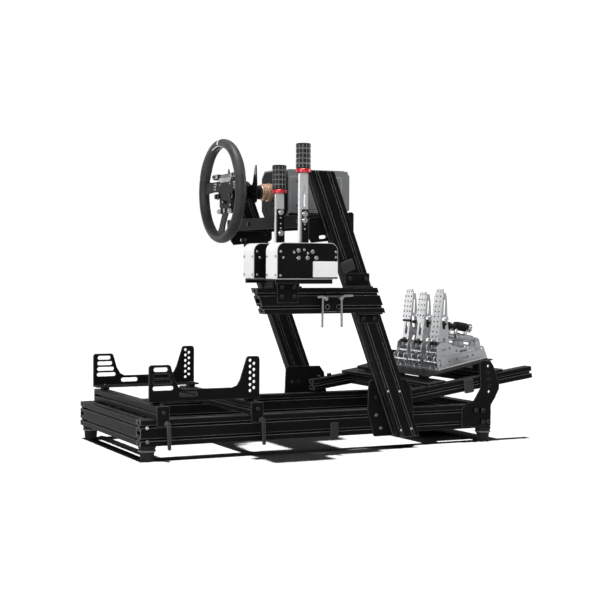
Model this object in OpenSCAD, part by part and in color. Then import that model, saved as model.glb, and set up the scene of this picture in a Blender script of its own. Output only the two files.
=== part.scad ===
// Racing-simulator cockpit: T-slot base, leaning uprights, seat brackets,
// wheel base and rim, pedal deck, side arm with two hand-lever units.
// Modelled with X from the seat end to the pedal end, Y across, Z up.

/* [Base] */
// Length of the base rails
base_l = 1250; // [1200:10:1300]
// Overall width of the base
base_w = 620; // [600:10:640]
// Height of the rubber feet
foot_h = 46; // [40:1:60]

/* [Uprights] */
// Lean of the uprights from vertical
upright_lean = 20.6; // [18:0.2:22]
// Height of the uprights above the underside of the base
upright_top = 843; // [820:1:860]

/* [Pedals] */
// Tilt of the two pedal rails
tray_tilt = 7.9; // [6:0.1:9]
// Tilt of the pedal deck
deck_tilt = 11.2; // [10:0.1:12]
// Lean of the pedal faces away from the driver
pedal_lean = 7; // [5:0.5:9]

/* [Steering] */
// Height of the steering axis above the underside of the base
wheel_z = 791; // [780:1:800]
// Outer diameter of the steering wheel rim
wheel_d = 345; // [320:1:350]

/* [Hidden] */
$fn = 48;

// T-slot profile: cell, mouth, lip, pocket, core bore and chambers
cell = 40;
slot_mouth = 8;
slot_lip = 4.5;
slot_pocket_w = 19;
slot_wall_h = 3;
slot_floor_w = 10;
slot_depth = 12.5;
profile_r = 1.5;
core_d = 6.8;
chamber = [34, 14];
corner_cell = 4.5;

plate_t = 5;
half_w = base_w / 2;

// Colours that several pieces share
rail_black = "#1b1c1e";
plate_black = "#141416";
clamp_black = "#202124";
plastic_black = "#1a1a1c";
bright_metal = "#c9ccd1";
lever_metal = "#b9bcc0";
shell_white = "#e9eaec";

rail_in = half_w - cell;

// Uprights: centre line at z = 0, lower cut, distance of the centre line from the middle
upright_foot_x = 898.5;
upright_foot_z = -9;
upright_y = half_w + plate_t + cell / 2;

// Seat frame
seat_gap = 0.3;
seat_z = 2 * cell + seat_gap;
seat_rail_x = [50, 361];
bracket_y = half_w - 32;
bracket_lift = 10;
bracket_flange = 46;
seat_lever_pivots = [[80, 66], [392, 66]];
seat_lever_y = half_w + 2 * seat_gap + plate_t;

// Pedal rails and the deck on them
tray_x = 870;
tray_z = 107.1;
tray_l = 555;
tray_cross_x = [154, 399];
tray_bars = [[141, 66], [399, 40]];
bar_t = 10;
deck_x = 1039;
deck_z = 176;
deck_l = 265;
deck_w = 500;
deck_t = 4;
deck_lip = 12;
deck_legs = [[1048, 1070], [1266, 1290]];

// Pedals: side plates stand on the deck, pivots and damper eyes in X and Z
throttle_y = -173;
brake_y = -67;
clutch_y = 28;
pedal_half = 38;
pedal_flange = 45;
wall_t = 4;
pedal_pivot = [1125.5, 264.5];
rod_eye = [1140, 312];
damper_eye = [1272, 290];
damper_rise = atan2(rod_eye.y - damper_eye.y, damper_eye.x - rod_eye.x);
arm_half = 21;
arm_eye = [8.6, 48.9];
pad_x = -20;
pad_t = 5;

// Side arm
arm_y = upright_y + cell;
arm_z = 437;
arm_x = [338, 790];
clamp_t = 8;
arm_lever_y = arm_y + cell / 2 + clamp_t + seat_gap;

// Shelf and the two lever units
shelf_x = 364;
shelf_l = 191;
shelf_y = [-480, -255];
shelf_z = 505;
shelf_t = 4;
unit_l = 205;
unit_w = 78;
unit_h = 110;
unit_x = 368;
unit_r = 25;
lever_x = 473;
lever_pivot_z = shelf_z + 45;
lever_w = 30;
lever_half = 5;
shifter_y = -441;
shifter_top = 829;
handbrake_y = -270;
handbrake_top = 774;
grip_h = 88;

// Steering
rim_x = 390;
rim_tube = 31;
base_front = 575;
motor_w = 178;
hub_d = 70;
tray_top_z = 707;
tray_front_x = 540;
tray_rear_x = 700;

// Whole object: placed so that the origin is under the middle of its box, on the floor
front_x = tray_x + tray_l * cos(tray_tilt) + cell / 2 * sin(tray_tilt);
left_y = upright_y + cell / 2;
right_y = shelf_y[0];
module placed() {
    translate([-front_x / 2, -(left_y + right_y) / 2, foot_h]) children();
}

// Flat shape drawn in X and Z, from y on, t thick
module standing(y, t) {
    translate([0, y + t, 0]) rotate([90, 0, 0]) linear_extrude(t) children();
}

// Same, outwards from the distance y on the side given as -1 or 1
module side_plate(side, y, t = plate_t) {
    standing(side < 0 ? -y - t : y, t) children();
}

module rounded_rect(w, h, r) {
    translate([r, 0]) square([w - 2 * r, h]);
    translate([0, r]) square([w, h - 2 * r]);
    for (x = [r, w - r], y = [r, h - r]) translate([x, y]) circle(r);
}

module slot(l, w) {
    translate([-l / 2 + w / 2, -w / 2]) square([l - w, w]);
    for (x = [-1, 1]) translate([x * (l - w) / 2, 0]) circle(w / 2);
}

// Straight slot between two points of the drawing plane
module slot_between(a, b, w) {
    translate((a + b) / 2) rotate(atan2(b.y - a.y, b.x - a.x)) slot(norm(b - a) + w, w);
}

// One T-slot cut into the edge that lies along X at y = 0, opening downwards
module t_slot() {
    translate([-slot_mouth / 2, -1]) square([slot_mouth, slot_lip + 2]);
    polygon([
        [-slot_pocket_w / 2, slot_lip], [slot_pocket_w / 2, slot_lip],
        [slot_pocket_w / 2, slot_lip + slot_wall_h], [slot_floor_w / 2, slot_depth],
        [-slot_floor_w / 2, slot_depth], [-slot_pocket_w / 2, slot_lip + slot_wall_h],
    ]);
}

// Profile section, cols by rows cells, centred, with its bores and chambers
module profile(cols, rows) {
    w = cols * cell;
    h = rows * cell;
    difference() {
        translate([-w / 2, -h / 2]) rounded_rect(w, h, profile_r);
        for (i = [0:cols - 1]) {
            x = (i - (cols - 1) / 2) * cell;
            translate([x, -h / 2]) t_slot();
            translate([x, h / 2]) rotate(180) t_slot();
            for (j = [0:rows - 1]) translate([x, (j - (rows - 1) / 2) * cell]) circle(d = core_d);
        }
        for (j = [0:rows - 1]) {
            y = (j - (rows - 1) / 2) * cell;
            translate([w / 2, y]) rotate(90) t_slot();
            translate([-w / 2, y]) rotate(-90) t_slot();
        }
        for (sx = [-1, 1], sy = [-1, 1])
            translate([sx * (w / 2 - corner_cell), sy * (h / 2 - corner_cell)])
                square(corner_cell, center = true);
        if (rows > 1) square(chamber, center = true);
        if (cols > 1) square([chamber.y, chamber.x], center = true);
    }
}

module profile_x(l, cols, rows) {
    rotate([90, 0, 90]) linear_extrude(l) profile(cols, rows);
}

module profile_y(l, cols, rows) {
    translate([0, l / 2, 0]) rotate([90, 0, 0]) linear_extrude(l) profile(cols, rows);
}

// Base frame

module side_rail(side) {
    color(rail_black) translate([0, side * (half_w - cell / 2), cell]) profile_x(base_l, 1, 2);
}

module base_cross_rails() {
    color(rail_black) for (x = [cell / 2, base_l - cell / 2])
        translate([x, 0, cell]) profile_y(2 * rail_in, 1, 2);
}

module foot() {
    rotate_extrude() polygon([
        [0, 0], [27, 0], [27, -5], [25, -7], [25, -12], [22.5, -15],
        [20, -foot_h + 2], [18, -foot_h], [0, -foot_h],
    ]);
}

module feet() {
    color("#161617") for (x = [29, base_l - 14], y = [-286, 286]) translate([x, y, 0]) foot();
}

// Uprights

module upright(side) {
    color(rail_black) intersection() {
        translate([upright_foot_x, side * upright_y, 0]) rotate([0, -upright_lean, 0])
            translate([0, 0, -80]) linear_extrude(1100) profile(2, 1);
        translate([0, side * upright_y - cell, upright_foot_z])
            cube([1300, 2 * cell, upright_top - upright_foot_z]);
    }
}

module upright_foot_plates() {
    color(plate_black) for (side = [-1, 1]) side_plate(side, half_w) difference() {
        polygon([
            [784, 177], [914, 175], [932, 151], [941, 87], [950, -4], [946, -8], [800, -8], [795, -4],
            [772, 79], [776, 168],
        ]);
        for (p = [[800, 120], [828, 120]]) translate(p) circle(d = 9);
    }
}

// Seat frame

module seat_cross_rails() {
    color(rail_black) for (x = seat_rail_x)
        translate([x + cell / 2, 0, seat_z + cell / 2]) profile_y(base_w, 1, 1);
}

module seat_clamp_plates() {
    color(clamp_black) for (side = [-1, 1], x = seat_rail_x)
        side_plate(side, half_w + seat_gap) translate([x, 60]) rounded_rect(cell, 60, 3);
}

module bracket_outline() {
    polygon([
        [36, 0], [36, 106], [42, 112], [100, 112], [106, 108], [118, 66], [131, 44], [146, 36],
        [310, 36], [326, 42], [336, 60], [358, 128], [364, 132], [392, 132], [399, 130], [402, 122], [402, 0],
    ]);
}

module seat_bracket(side) {
    color(plate_black) translate([0, 0, seat_z + cell + bracket_lift]) {
        side_plate(side, bracket_y) difference() {
            bracket_outline();
            for (i = [0:3]) translate([74 + i * 2.5, 98 - i * 19]) slot(46 + i * 7, 13);
            translate([164, 21]) slot(60, 14);
            for (i = [0:5]) translate([370, 24 + i * 19]) circle(5);
            for (i = [0:4]) translate([383, 33 + i * 19]) circle(5);
        }
        translate([36, side < 0 ? -bracket_y : bracket_y - bracket_flange, 0])
            cube([366, bracket_flange, plate_t]);
        for (x = [68, 379]) translate([x - 12, side * (bracket_y - 26) - 12, -bracket_lift])
            cube([24, 24, bracket_lift]);
    }
}

// Ratchet clamping lever: bolt head on its axis along Y, stem out, handle hanging down
module clamp_lever(side, pivot) {
    handle = [[-6, 4], [6, 4], [8, -74], [5, -77], [1, -77], [-1, -74]];
    color(lever_metal) translate([pivot.x, side * seat_lever_y, pivot.y]) rotate([side * -90, 0, 0]) {
        cylinder(d = 18, h = 12);
        translate([0, 0, 12]) cylinder(d = 12, h = 12);
        translate([0, 0, 14]) linear_extrude(8) polygon([for (p = handle) [p.x, -side * p.y]]);
    }
}

// Thin bent clamping lever of the side arm: hub, an ear beyond the knee and a handle hanging down
module rod_lever(pivot, knee, ear, top, tip) {
    color(lever_metal) {
        translate([pivot.x, -arm_lever_y, pivot.y]) rotate([90, 0, 0]) cylinder(d = 13, h = 18);
        standing(-arm_lever_y - 16, 5) {
            slot_between(pivot, knee, 7);
            slot_between(knee, ear, 7);
            slot_between(top, tip, 6);
        }
    }
}

// Pedal tray

function bar_top(x) = tray_z + (x - tray_x) * tan(tray_tilt) + (cell / 2 + bar_t) / cos(tray_tilt);
function deck_under(x) = deck_z + (x - deck_x) * tan(deck_tilt) - deck_t / cos(deck_tilt);

module tray() {
    translate([tray_x, 0, tray_z]) rotate([0, -tray_tilt, 0]) children();
}

module pedal_rail(side) {
    color(rail_black) tray() translate([0, side * (half_w - cell / 2), 0]) profile_x(tray_l, 1, 1);
}

module pedal_support_plates() {
    color(plate_black) for (side = [-1, 1]) side_plate(side, half_w) difference() {
        polygon([
            [1133, 6], [1133, 67], [1148, 83], [1182, 94], [1196, 115], [1208, 135], [1203, 223],
            [1215, 229], [1247, 226], [1259, 208], [1270, 181], [1282, 146], [1281, 129], [1265, 99],
            [1249, 76], [1249, 6],
        ]);
        for (p = [[1237, 209], [1237, 188], [1240, 165], [1242, 143], [1241, 122]]) translate(p) circle(4.5);
    }
}

module pedal_cross_rails() {
    tray() {
        color(rail_black) for (x = tray_cross_x) translate([x + cell / 2, 0, 0]) profile_y(2 * rail_in, 1, 1);
        color(plate_black) for (bar = tray_bars)
            translate([bar[0], -half_w, cell / 2]) cube([bar[1], base_w, bar_t]);
    }
}

module deck_frame() {
    translate([deck_x, 0, deck_z]) rotate([0, -deck_tilt, 0]) children();
}

module pedal_deck() {
    color("#2a2b2e") {
        deck_frame() {
            translate([0, -deck_w / 2, -deck_t]) cube([deck_l, deck_w, deck_t]);
            translate([0, -deck_w / 2, -deck_lip]) cube([deck_t, 60, deck_lip]);
            translate([0, deck_w / 2 - 60, -deck_lip]) cube([deck_t, 60, deck_lip]);
        }
        for (leg = deck_legs, y = [-205, -15, 175]) standing(y, 30) polygon([
            [leg[0], bar_top(leg[0])], [leg[1], bar_top(leg[1])],
            [leg[1], deck_under(leg[1]) + 1], [leg[0], deck_under(leg[0]) + 1],
        ]);
    }
}

// Pedals

// Low outer walls with a lug at the rear, cheeks that carry the pivot, and the damper's two lugs
module pedal_base(y) {
    color(bright_metal) {
        deck_frame() {
            translate([62, y - pedal_flange, 0]) cube([203, 2 * pedal_flange, plate_t]);
            for (side = [-1, 1]) {
                standing(y + side * (pedal_flange - wall_t / 2) - wall_t / 2, wall_t) pedal_wall();
                standing(y + side * (pedal_half - plate_t / 2) - plate_t / 2, plate_t) pedal_cheek();
                standing(y + side * 16 - plate_t / 2, plate_t)
                    polygon([[232, 0], [240, 60], [246, 72], [255, 74], [261, 66], [265, 0]]);
            }
        }
        for (side = [-1, 1]) translate([pedal_pivot.x, y + side * (pedal_half - 1), pedal_pivot.y])
            rotate([-90 * side, 0, 0]) cylinder(d = 16, h = 5);
    }
}

module pedal_wall() {
    difference() {
        polygon([
            [62, 0], [62, 44], [65, 48], [72, 49], [112, 42], [206, 35], [238, 35], [241, 43], [246, 48],
            [252, 48], [257, 43], [265, 6], [265, 0],
        ]);
        translate([249, 39]) circle(d = 7);
        slot_between([74, 16], [74, 34], 8);
        for (x = [112, 142, 208]) translate([x, 24]) circle(d = 7);
        translate([176, 24]) slot(30, 8);
    }
}

module pedal_cheek() {
    difference() {
        polygon([
            [70, 0], [71, 44], [76, 70], [82, 84], [92, 90], [104, 90], [122, 85], [140, 72], [166, 58],
            [206, 54], [222, 50], [228, 40], [230, 0],
        ]);
        for (p = [[124, 66], [150, 52], [206, 44]]) translate(p) circle(d = 8);
        slot_between([166, 46], [188, 45], 8);
    }
}

// Origin on the pedal's pivot, Z along its face
module pedal_frame(y) {
    translate([pedal_pivot.x, y, pedal_pivot.y]) rotate([0, pedal_lean, 0]) children();
}

// Arm of two slotted side plates joined behind the pad, with a cross bar under it; h is its height
module pedal_arm(y, h) {
    color(bright_metal) pedal_frame(y) {
        rotate([90, 0, 0]) cylinder(d = 14, h = 2 * (pedal_half - plate_t) - 1, center = true);
        for (side = [-1, 1]) standing(y_of_plate(side), wall_t) difference() {
            polygon([
                [-15, 14], [-15, h], [-5, h], [2, h - 24], [14, 92], [21, 66], [24, 36], [16, -6], [8, -13],
                [-8, -13], [-14, -6],
            ]);
            slot_between([2, 70], [-4, 100], 11);
            slot_between([-3, 118], [-6, h - 26], 7);
            slot_between([6, 20], [8, 32], 10);
        }
        translate([-15, -arm_half, 26]) rotate([90, 0, 90]) linear_extrude(wall_t) difference() {
            square([2 * arm_half, h - 26]);
            translate([arm_half, 0]) slot_between([0, 18], [0, 46], 16);
        }
        translate([arm_eye.x, 0, arm_eye.y]) rotate([90, 0, 0])
            cylinder(d = 8, h = 2 * arm_half + 8, center = true);
    }
}

function y_of_plate(side) = side * (arm_half - wall_t / 2) - wall_t / 2;

// Perforated face, w wide and h tall from z on, corners cut, holes in rows of cols
module pedal_pad(y, w, z, h, cols) {
    pitch = [12, 15];
    cut = 12;
    rows = floor((h - 34) / pitch.y);
    color("#d6d8dc") pedal_frame(y) translate([pad_x, 0, z]) rotate([90, 0, 90]) linear_extrude(pad_t)
        difference() {
            polygon([
                [-w / 2 + 6, 0], [w / 2 - 6, 0], [w / 2, 6], [w / 2, h - cut - 8], [w / 2 - cut, h],
                [-w / 2 + cut, h], [-w / 2, h - cut - 8], [-w / 2, 6],
            ]);
            for (j = [0:rows], i = [0:cols - 1])
                translate([(i - (cols - 1) / 2) * pitch.x, 14 + j * pitch.y]) circle(d = 6);
        }
}

// Origin on the damper's rear eye, Z towards the arm, X up
module damper_frame(y) {
    translate([damper_eye.x, y, damper_eye.y]) rotate([0, damper_rise - 90, 0]) children();
}

// Damper barrel with an open bore, and the ribbed spring pack it carries above
module pedal_damper(y) {
    pitch = 9;
    rib = [[12, 0], [16, 3], [16, 6], [12, 8.5]];
    ribs = [for (i = [0:5], p = rib) [p.x, 34 + i * pitch + p.y]];
    color("#8a8d92") damper_frame(y) {
        rotate([90, 0, 0]) cylinder(d = 18, h = 22, center = true);
        difference() {
            rotate_extrude() polygon([
                [0, 6], [10, 6], [13, 12], [13, 66], [15, 68], [15, 78], [13, 80], [0, 80],
            ]);
            translate([0, 0, 18]) cylinder(d = 14, h = 70);
        }
        translate([9, -7, 36]) cube([18, 14, 16]);
        translate([37, 0, 0]) rotate_extrude()
            polygon(concat([[0, 27], [9, 27], [10, 33]], ribs, [[8, 89], [7, 92], [0, 92]]));
    }
}

module pedal_rod(y) {
    l = norm(rod_eye - damper_eye);
    color(lever_metal) damper_frame(y) difference() {
        union() {
            translate([0, 0, 44]) cylinder(d = 8, h = l - 44);
            translate([0, 0, l]) rotate([90, 0, 0]) cylinder(d = 18, h = 16, center = true);
        }
        translate([0, 0, l]) rotate([90, 0, 0]) cylinder(d = 8.6, h = 20, center = true);
    }
}

// Side arm, its brackets and the shelf

module side_arm() {
    slope = tan(upright_lean);
    color(rail_black) intersection() {
        translate([arm_x[0] - 50, -arm_y, arm_z]) profile_x(arm_x[1] - arm_x[0] + 100, 1, 2);
        standing(-arm_y - cell, 2 * cell) polygon([
            [arm_x[0], arm_z + cell], [arm_x[0] + 2 * cell * slope, arm_z - cell],
            [arm_x[1], arm_z - cell], [arm_x[1] - 2 * cell * slope, arm_z + cell],
        ]);
    }
}

// Angle brackets above and below the arm, against the upright
module side_arm_brackets() {
    y = -upright_y - cell / 2;
    color(plate_black) {
        standing(y - 5, 5) translate([664, arm_z + cell]) rounded_rect(86, 46, 5);
        translate([668, y - 36, arm_z + cell]) cube([78, 31, 5]);
        standing(y - 5, 5) translate([712, arm_z - cell - 34]) rounded_rect(74, 34, 5);
        translate([716, y - 36, arm_z - cell - 5]) cube([66, 31, 5]);
    }
}

module arm_clamp_block() {
    color(clamp_black) standing(-arm_y - cell / 2 - clamp_t, clamp_t) translate([557, 401]) difference() {
        rounded_rect(70, 51, 4);
        for (x = [19, 61]) translate([x, 16]) circle(6);
    }
}

module lever_shelf() {
    w = shelf_y[1] - shelf_y[0];
    color(clamp_black) {
        translate([shelf_x, shelf_y[0], shelf_z - shelf_t]) cube([shelf_l, w, shelf_t]);
        translate([shelf_x, shelf_y[0], shelf_z - 14]) cube([shelf_l, shelf_t, 14]);
        translate([shelf_x, shelf_y[1] - shelf_t, shelf_z - 14]) cube([shelf_l, shelf_t, 14]);
    }
}

module shelf_bracket() {
    y = -arm_y - cell / 2;
    top = shelf_z - shelf_t;
    color(plate_black) {
        standing(y - 5, 5) translate([407, 431]) rounded_rect(71, top - 431, 3);
        translate([384, y + 2, arm_z + cell]) cube([110, cell - 4, 5]);
        for (x = [392, 440, 480]) translate([x, y, arm_z + cell]) cube([5, cell, top - arm_z - cell]);
    }
}

module unit_outline() {
    square([unit_l, unit_h / 2]);
    rounded_rect(unit_l, unit_h, unit_r);
}

module unit_housing(y) {
    slot_l = 104;
    slot_w = 30;
    color(shell_white) translate([unit_x, 0, shelf_z]) difference() {
        standing(y - unit_w / 2, unit_w) unit_outline();
        translate([lever_x - unit_x - slot_l / 2, y - slot_w / 2, 8]) cube([slot_l, slot_w, unit_h]);
    }
    color(shell_white) translate([lever_x, y, lever_pivot_z]) for (side = [-1, 1])
        translate([0, side * (unit_w / 2), 0]) rotate([90 * -side, 0, 0]) cylinder(d = 12, h = 3);
}

module lever_frame(y) {
    translate([lever_x, y, lever_pivot_z]) children();
}

module hand_lever(y, top) {
    h = top - lever_pivot_z;
    color(bright_metal) lever_frame(y) {
        rotate([90, 0, 0]) cylinder(d = 14, h = 29, center = true);
        standing(-lever_half, 2 * lever_half) difference() {
            translate([-lever_w / 2, -16]) rounded_rect(lever_w, h + 16, 8);
            slot_between([0, h - 170], [0, h - 112], 11);
        }
        standing(-lever_half - 4, 4) translate([-11.5, 62]) rounded_rect(24, h - 190, 4);
    }
}

// Grip with a wider ring under five bands
module hand_grip(y, top) {
    pitch = 15;
    band = [[20.5, 0], [22.5, 1], [22.5, 13], [20.5, 14]];
    bands = [for (i = [0:4], p = band) [p.x, 13 + i * pitch + p.y]];
    color(plastic_black) translate([lever_x, y, top]) rotate_extrude()
        polygon(concat([[0, 0], [23.5, 0], [24, 1], [24, 10], [23.5, 11], [20.5, 11]], bands, [[0, grip_h]]));
}

// Steering

module wheel_tray() {
    l = tray_rear_x - tray_front_x;
    lip = 40;
    w = base_w - 2 * plate_t;
    color(plate_black) {
        translate([tray_front_x, -half_w, tray_top_z - plate_t]) cube([l, base_w, plate_t]);
        for (x = [tray_front_x, tray_rear_x - plate_t]) translate([x, -w / 2, tray_top_z - lip])
            cube([plate_t, w, lip]);
        for (y = [-half_w, half_w - plate_t]) translate([tray_front_x, y, tray_top_z - lip])
            cube([l, plate_t, lip]);
    }
}

// Plates at the uprights that carry the tray, with the slots its tilt is set by
module wheel_side_plates() {
    color(plate_black) for (side = [-1, 1]) side_plate(side, half_w) difference() {
        polygon([
            [555, 633], [566, 618], [708, 633], [716, 642], [716, 712], [710, 718], [562, 697], [555, 690],
        ]);
        slot_between([597, 636], [611, 637.5], 11);
        for (p = [[690, 655], [690, 690]]) translate(p) circle(d = 9);
    }
}

module wheel_base_body() {
    panel = [150, 96];
    panel_t = 1.5;
    color("#6d7075") translate([0, 0, wheel_z]) {
        standing(-motor_w / 2, motor_w) polygon([
            [590, -84], [806, -84], [812, -78], [820, 50], [820, 60], [800, 75], [596, 75], [590, 69],
        ]);
        standing(-motor_w / 2 - panel_t, motor_w + 2 * panel_t)
            translate([640, -50]) rounded_rect(panel.x, panel.y, 10);
        translate([812, -30, -66]) cube([14, 60, 26]);
    }
}

module wheel_base_front() {
    color(plastic_black) translate([base_front, 0, wheel_z]) rotate([90, 0, 90]) linear_extrude(15)
        polygon([[-89, -60], [-65, -84], [65, -84], [89, -60], [89, 50], [65, 75], [-65, 75], [-89, 50]]);
}

module quick_release() {
    color("#c8703a") translate([484, 0, wheel_z]) rotate([0, 90, 0]) rotate_extrude() polygon([
        [0, 0], [26, 0], [26, 4], [22, 6], [22, 34], [28, 36], [31, 40], [31, 54], [28, 57], [25, 58],
        [25, 84], [28, 86], [28, 91], [0, 91],
    ]);
}

module wheel_frame() {
    translate([rim_x, 0, wheel_z]) children();
}

// Shape drawn in Y and Z, from the distance x behind the rim's plane, t thick
module facing(x, t) {
    translate([x, 0, 0]) rotate([90, 0, 90]) linear_extrude(t) children();
}

module rim_ring() {
    rotate([0, 90, 0]) rotate_extrude($fn = 96) translate([(wheel_d - rim_tube) / 2, 0]) circle(d = rim_tube);
}

module wheel_rim() {
    color("#26272a") wheel_frame() rim_ring();
}

module spokes() {
    for (side = [-1, 1]) polygon([
        [side * 60, 22], [side * 108, 17], [side * 128, 22], [side * 150, 36], [side * 150, -32],
        [side * 128, -20], [side * 108, -16], [side * 60, -22],
    ]);
    polygon([[-30, -40], [30, -40], [16, -86], [15, -118], [24, -150], [-24, -150], [-15, -118], [-16, -86]]);
}

module hub_shield() {
    polygon([
        [-92, 24], [-86, 34], [-54, 40], [-44, 56], [44, 56], [54, 40], [86, 34], [92, 24],
        [84, -8], [56, -30], [50, -56], [40, -66], [-40, -66], [-50, -56], [-56, -30], [-84, -8],
    ]);
}

module wheel_hub() {
    color(plastic_black) wheel_frame() {
        difference() {
            facing(8, 6) union() {
                spokes();
                hub_shield();
            }
            rim_ring();
        }
        facing(14, 22) scale([0.94, 0.94]) hub_shield();
        facing(2, 6) polygon([
            [-40, 34], [-34, 54], [34, 54], [40, 34], [30, -40], [20, -48], [-20, -48], [-30, -40],
        ]);
        translate([36, 0, 0]) rotate([0, 90, 0]) cylinder(d = hub_d, h = 58);
    }
}

module paddle(side) {
    color("#111214") wheel_frame() facing(70, 4) difference() {
        polygon([
            [side * 36, -14], [side * 108, -41], [side * 116, -39], [side * 124, -28],
            [side * 122, 20], [side * 116, 81], [side * 113, 82], [side * 104, 66],
            [side * 92, 24], [side * 84, 18], [side * 36, 14],
        ]);
        for (p = [[72, 0], [90, -8], [106, -14], [110, 12]]) translate([side * p.x, p.y]) circle(d = 7);
    }
}

placed() side_rail(-1);  // side_rail_right
placed() side_rail(1);  // side_rail_left
placed() base_cross_rails();
placed() feet();
placed() upright(-1);  // upright_right
placed() upright(1);  // upright_left
placed() upright_foot_plates();
placed() seat_cross_rails();
placed() seat_clamp_plates();
placed() seat_bracket(-1);  // seat_bracket_right
placed() seat_bracket(1);  // seat_bracket_left
placed() clamp_lever(-1, seat_lever_pivots[0]);  // seat_lever_rear_right
placed() clamp_lever(-1, seat_lever_pivots[1]);  // seat_lever_front_right
placed() clamp_lever(1, seat_lever_pivots[0]);  // seat_lever_rear_left
placed() clamp_lever(1, seat_lever_pivots[1]);  // seat_lever_front_left
placed() pedal_rail(-1);  // pedal_rail_right
placed() pedal_rail(1);  // pedal_rail_left
placed() pedal_support_plates();
placed() pedal_cross_rails();
placed() pedal_deck();
placed() pedal_base(throttle_y);  // throttle_base
placed() pedal_arm(throttle_y, 190);  // throttle_arm
placed() pedal_pad(throttle_y, 58, 28, 175, 2);  // throttle_pad
placed() pedal_damper(throttle_y);  // throttle_damper
placed() pedal_rod(throttle_y);  // throttle_rod
placed() pedal_base(brake_y);  // brake_base
placed() pedal_arm(brake_y, 184);  // brake_arm
placed() pedal_pad(brake_y, 56, 98, 93, 3);  // brake_pad
placed() pedal_damper(brake_y);  // brake_damper
placed() pedal_rod(brake_y);  // brake_rod
placed() pedal_base(clutch_y);  // clutch_base
placed() pedal_arm(clutch_y, 186);  // clutch_arm
placed() pedal_pad(clutch_y, 58, 92, 108, 3);  // clutch_pad
placed() pedal_damper(clutch_y);  // clutch_damper
placed() pedal_rod(clutch_y);  // clutch_rod
placed() side_arm();
placed() side_arm_brackets();
placed() arm_clamp_block();
placed() rod_lever([565, 444], [553, 450], [539, 449], [554, 446], [553, 358]);  // arm_lever_rear
placed() rod_lever([618, 444], [629, 452], [657, 453], [619, 444], [621, 358]);  // arm_lever_front
placed() lever_shelf();
placed() shelf_bracket();
placed() unit_housing(shifter_y);  // shifter_housing
placed() hand_lever(shifter_y, shifter_top);  // shifter_lever
placed() hand_grip(shifter_y, shifter_top);  // shifter_grip
placed() unit_housing(handbrake_y);  // handbrake_housing
placed() hand_lever(handbrake_y, handbrake_top);  // handbrake_lever
placed() hand_grip(handbrake_y, handbrake_top);  // handbrake_grip
placed() wheel_tray();
placed() wheel_side_plates();
placed() wheel_base_body();
placed() wheel_base_front();
placed() quick_release();
placed() wheel_hub();
placed() wheel_rim();
placed() paddle(-1);  // paddle_right
placed() paddle(1);  // paddle_left
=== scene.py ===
"""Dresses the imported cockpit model: finishes for its solids, and the finer pieces that ride on them."""

import logging
import math
from dataclasses import dataclass, field
from enum import Enum
from functools import cached_property
from typing import Any

import bmesh
import bpy
import numpy as np
from mathutils import Matrix


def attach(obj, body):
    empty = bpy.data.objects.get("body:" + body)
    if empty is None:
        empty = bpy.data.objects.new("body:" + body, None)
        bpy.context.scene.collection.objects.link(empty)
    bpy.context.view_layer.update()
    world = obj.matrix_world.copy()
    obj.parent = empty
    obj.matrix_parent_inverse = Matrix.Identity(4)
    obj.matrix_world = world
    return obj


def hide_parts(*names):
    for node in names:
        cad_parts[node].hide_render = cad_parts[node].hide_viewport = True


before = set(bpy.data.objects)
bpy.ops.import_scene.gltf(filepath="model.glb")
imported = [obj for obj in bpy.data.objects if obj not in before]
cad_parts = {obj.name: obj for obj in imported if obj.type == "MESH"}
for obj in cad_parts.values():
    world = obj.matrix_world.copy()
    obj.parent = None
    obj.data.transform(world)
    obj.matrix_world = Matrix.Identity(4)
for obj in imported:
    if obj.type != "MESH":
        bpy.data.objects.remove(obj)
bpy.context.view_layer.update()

LOG = logging.getLogger("cockpit")
MM = 0.001
# The measuring frame's zero (rear end of the base, middle, underside of the rails) in the model, in mm
ZERO = np.array([-711.24, 62.5, 46.0])
NEAR, FAR = -1, 1
SIDES = (NEAR, FAR)
ALONG, ACROSS, UP = (1, 0, 0), (0, 1, 0), (0, 0, 1)
TO_DRIVER, TO_NEAR = (-1, 0, 0), (0, -1, 0)
# Rows for a flat shape drawn in Y and Z that grows along X, and one drawn in X and Z that grows towards -Y
FACING_X = np.array([[0.0, 1.0, 0.0], [0.0, 0.0, 1.0], [1.0, 0.0, 0.0]])
FACING_Y = np.array([[1.0, 0.0, 0.0], [0.0, 0.0, 1.0], [0.0, -1.0, 0.0]])
# Points nearer than this many metres are one, and edges sharper than this many degrees stay sharp
SEAM, SHARP = 2e-6, 32
TINY = 1e-9

Color = tuple[float, float, float]
Profile = list[tuple[float, float]]


class Axis(Enum):
    """A main direction of the model."""

    X = 0
    Y = 1
    Z = 2


def angles(count: int) -> np.ndarray:
    """Equal steps of one turn, in radians."""
    return np.linspace(0, 2 * np.pi, count, endpoint=False)


def unit(v: Any) -> np.ndarray:
    """A vector scaled to length one."""
    v = np.asarray(v, float)
    return v / np.linalg.norm(v)


def basis(z: Any, x: Any = ALONG) -> np.ndarray:
    """Directions of a local frame: z, then x made square to it, then z cross x.

    Args:
        z: Direction of the local z.
        x: Direction that the local x is nearest to.

    Returns:
        A 3 x 3 array whose rows are the local x, y and z.
    """
    w = unit(z)
    x = np.asarray(x, float)
    if abs(unit(x) @ w) > 0.95:
        x = np.asarray(UP if abs(w[2]) < 0.9 else ACROSS, float)
    u = unit(x - (x @ w) * w)
    return np.array([u, np.cross(w, u), w])


def tilted(degrees: float) -> np.ndarray:
    """Rows along, across and up of a frame turned about Y, its far end tipped up."""
    a = math.radians(degrees)
    return np.array([[math.cos(a), 0, math.sin(a)], [0, 1, 0], [-math.sin(a), 0, math.cos(a)]])


def side_on(rows: np.ndarray) -> np.ndarray:
    """Rows for an outline drawn along and up those of a frame, which grows towards the near side."""
    return np.array([rows[0], rows[2], np.cross(rows[0], rows[2])])


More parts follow.
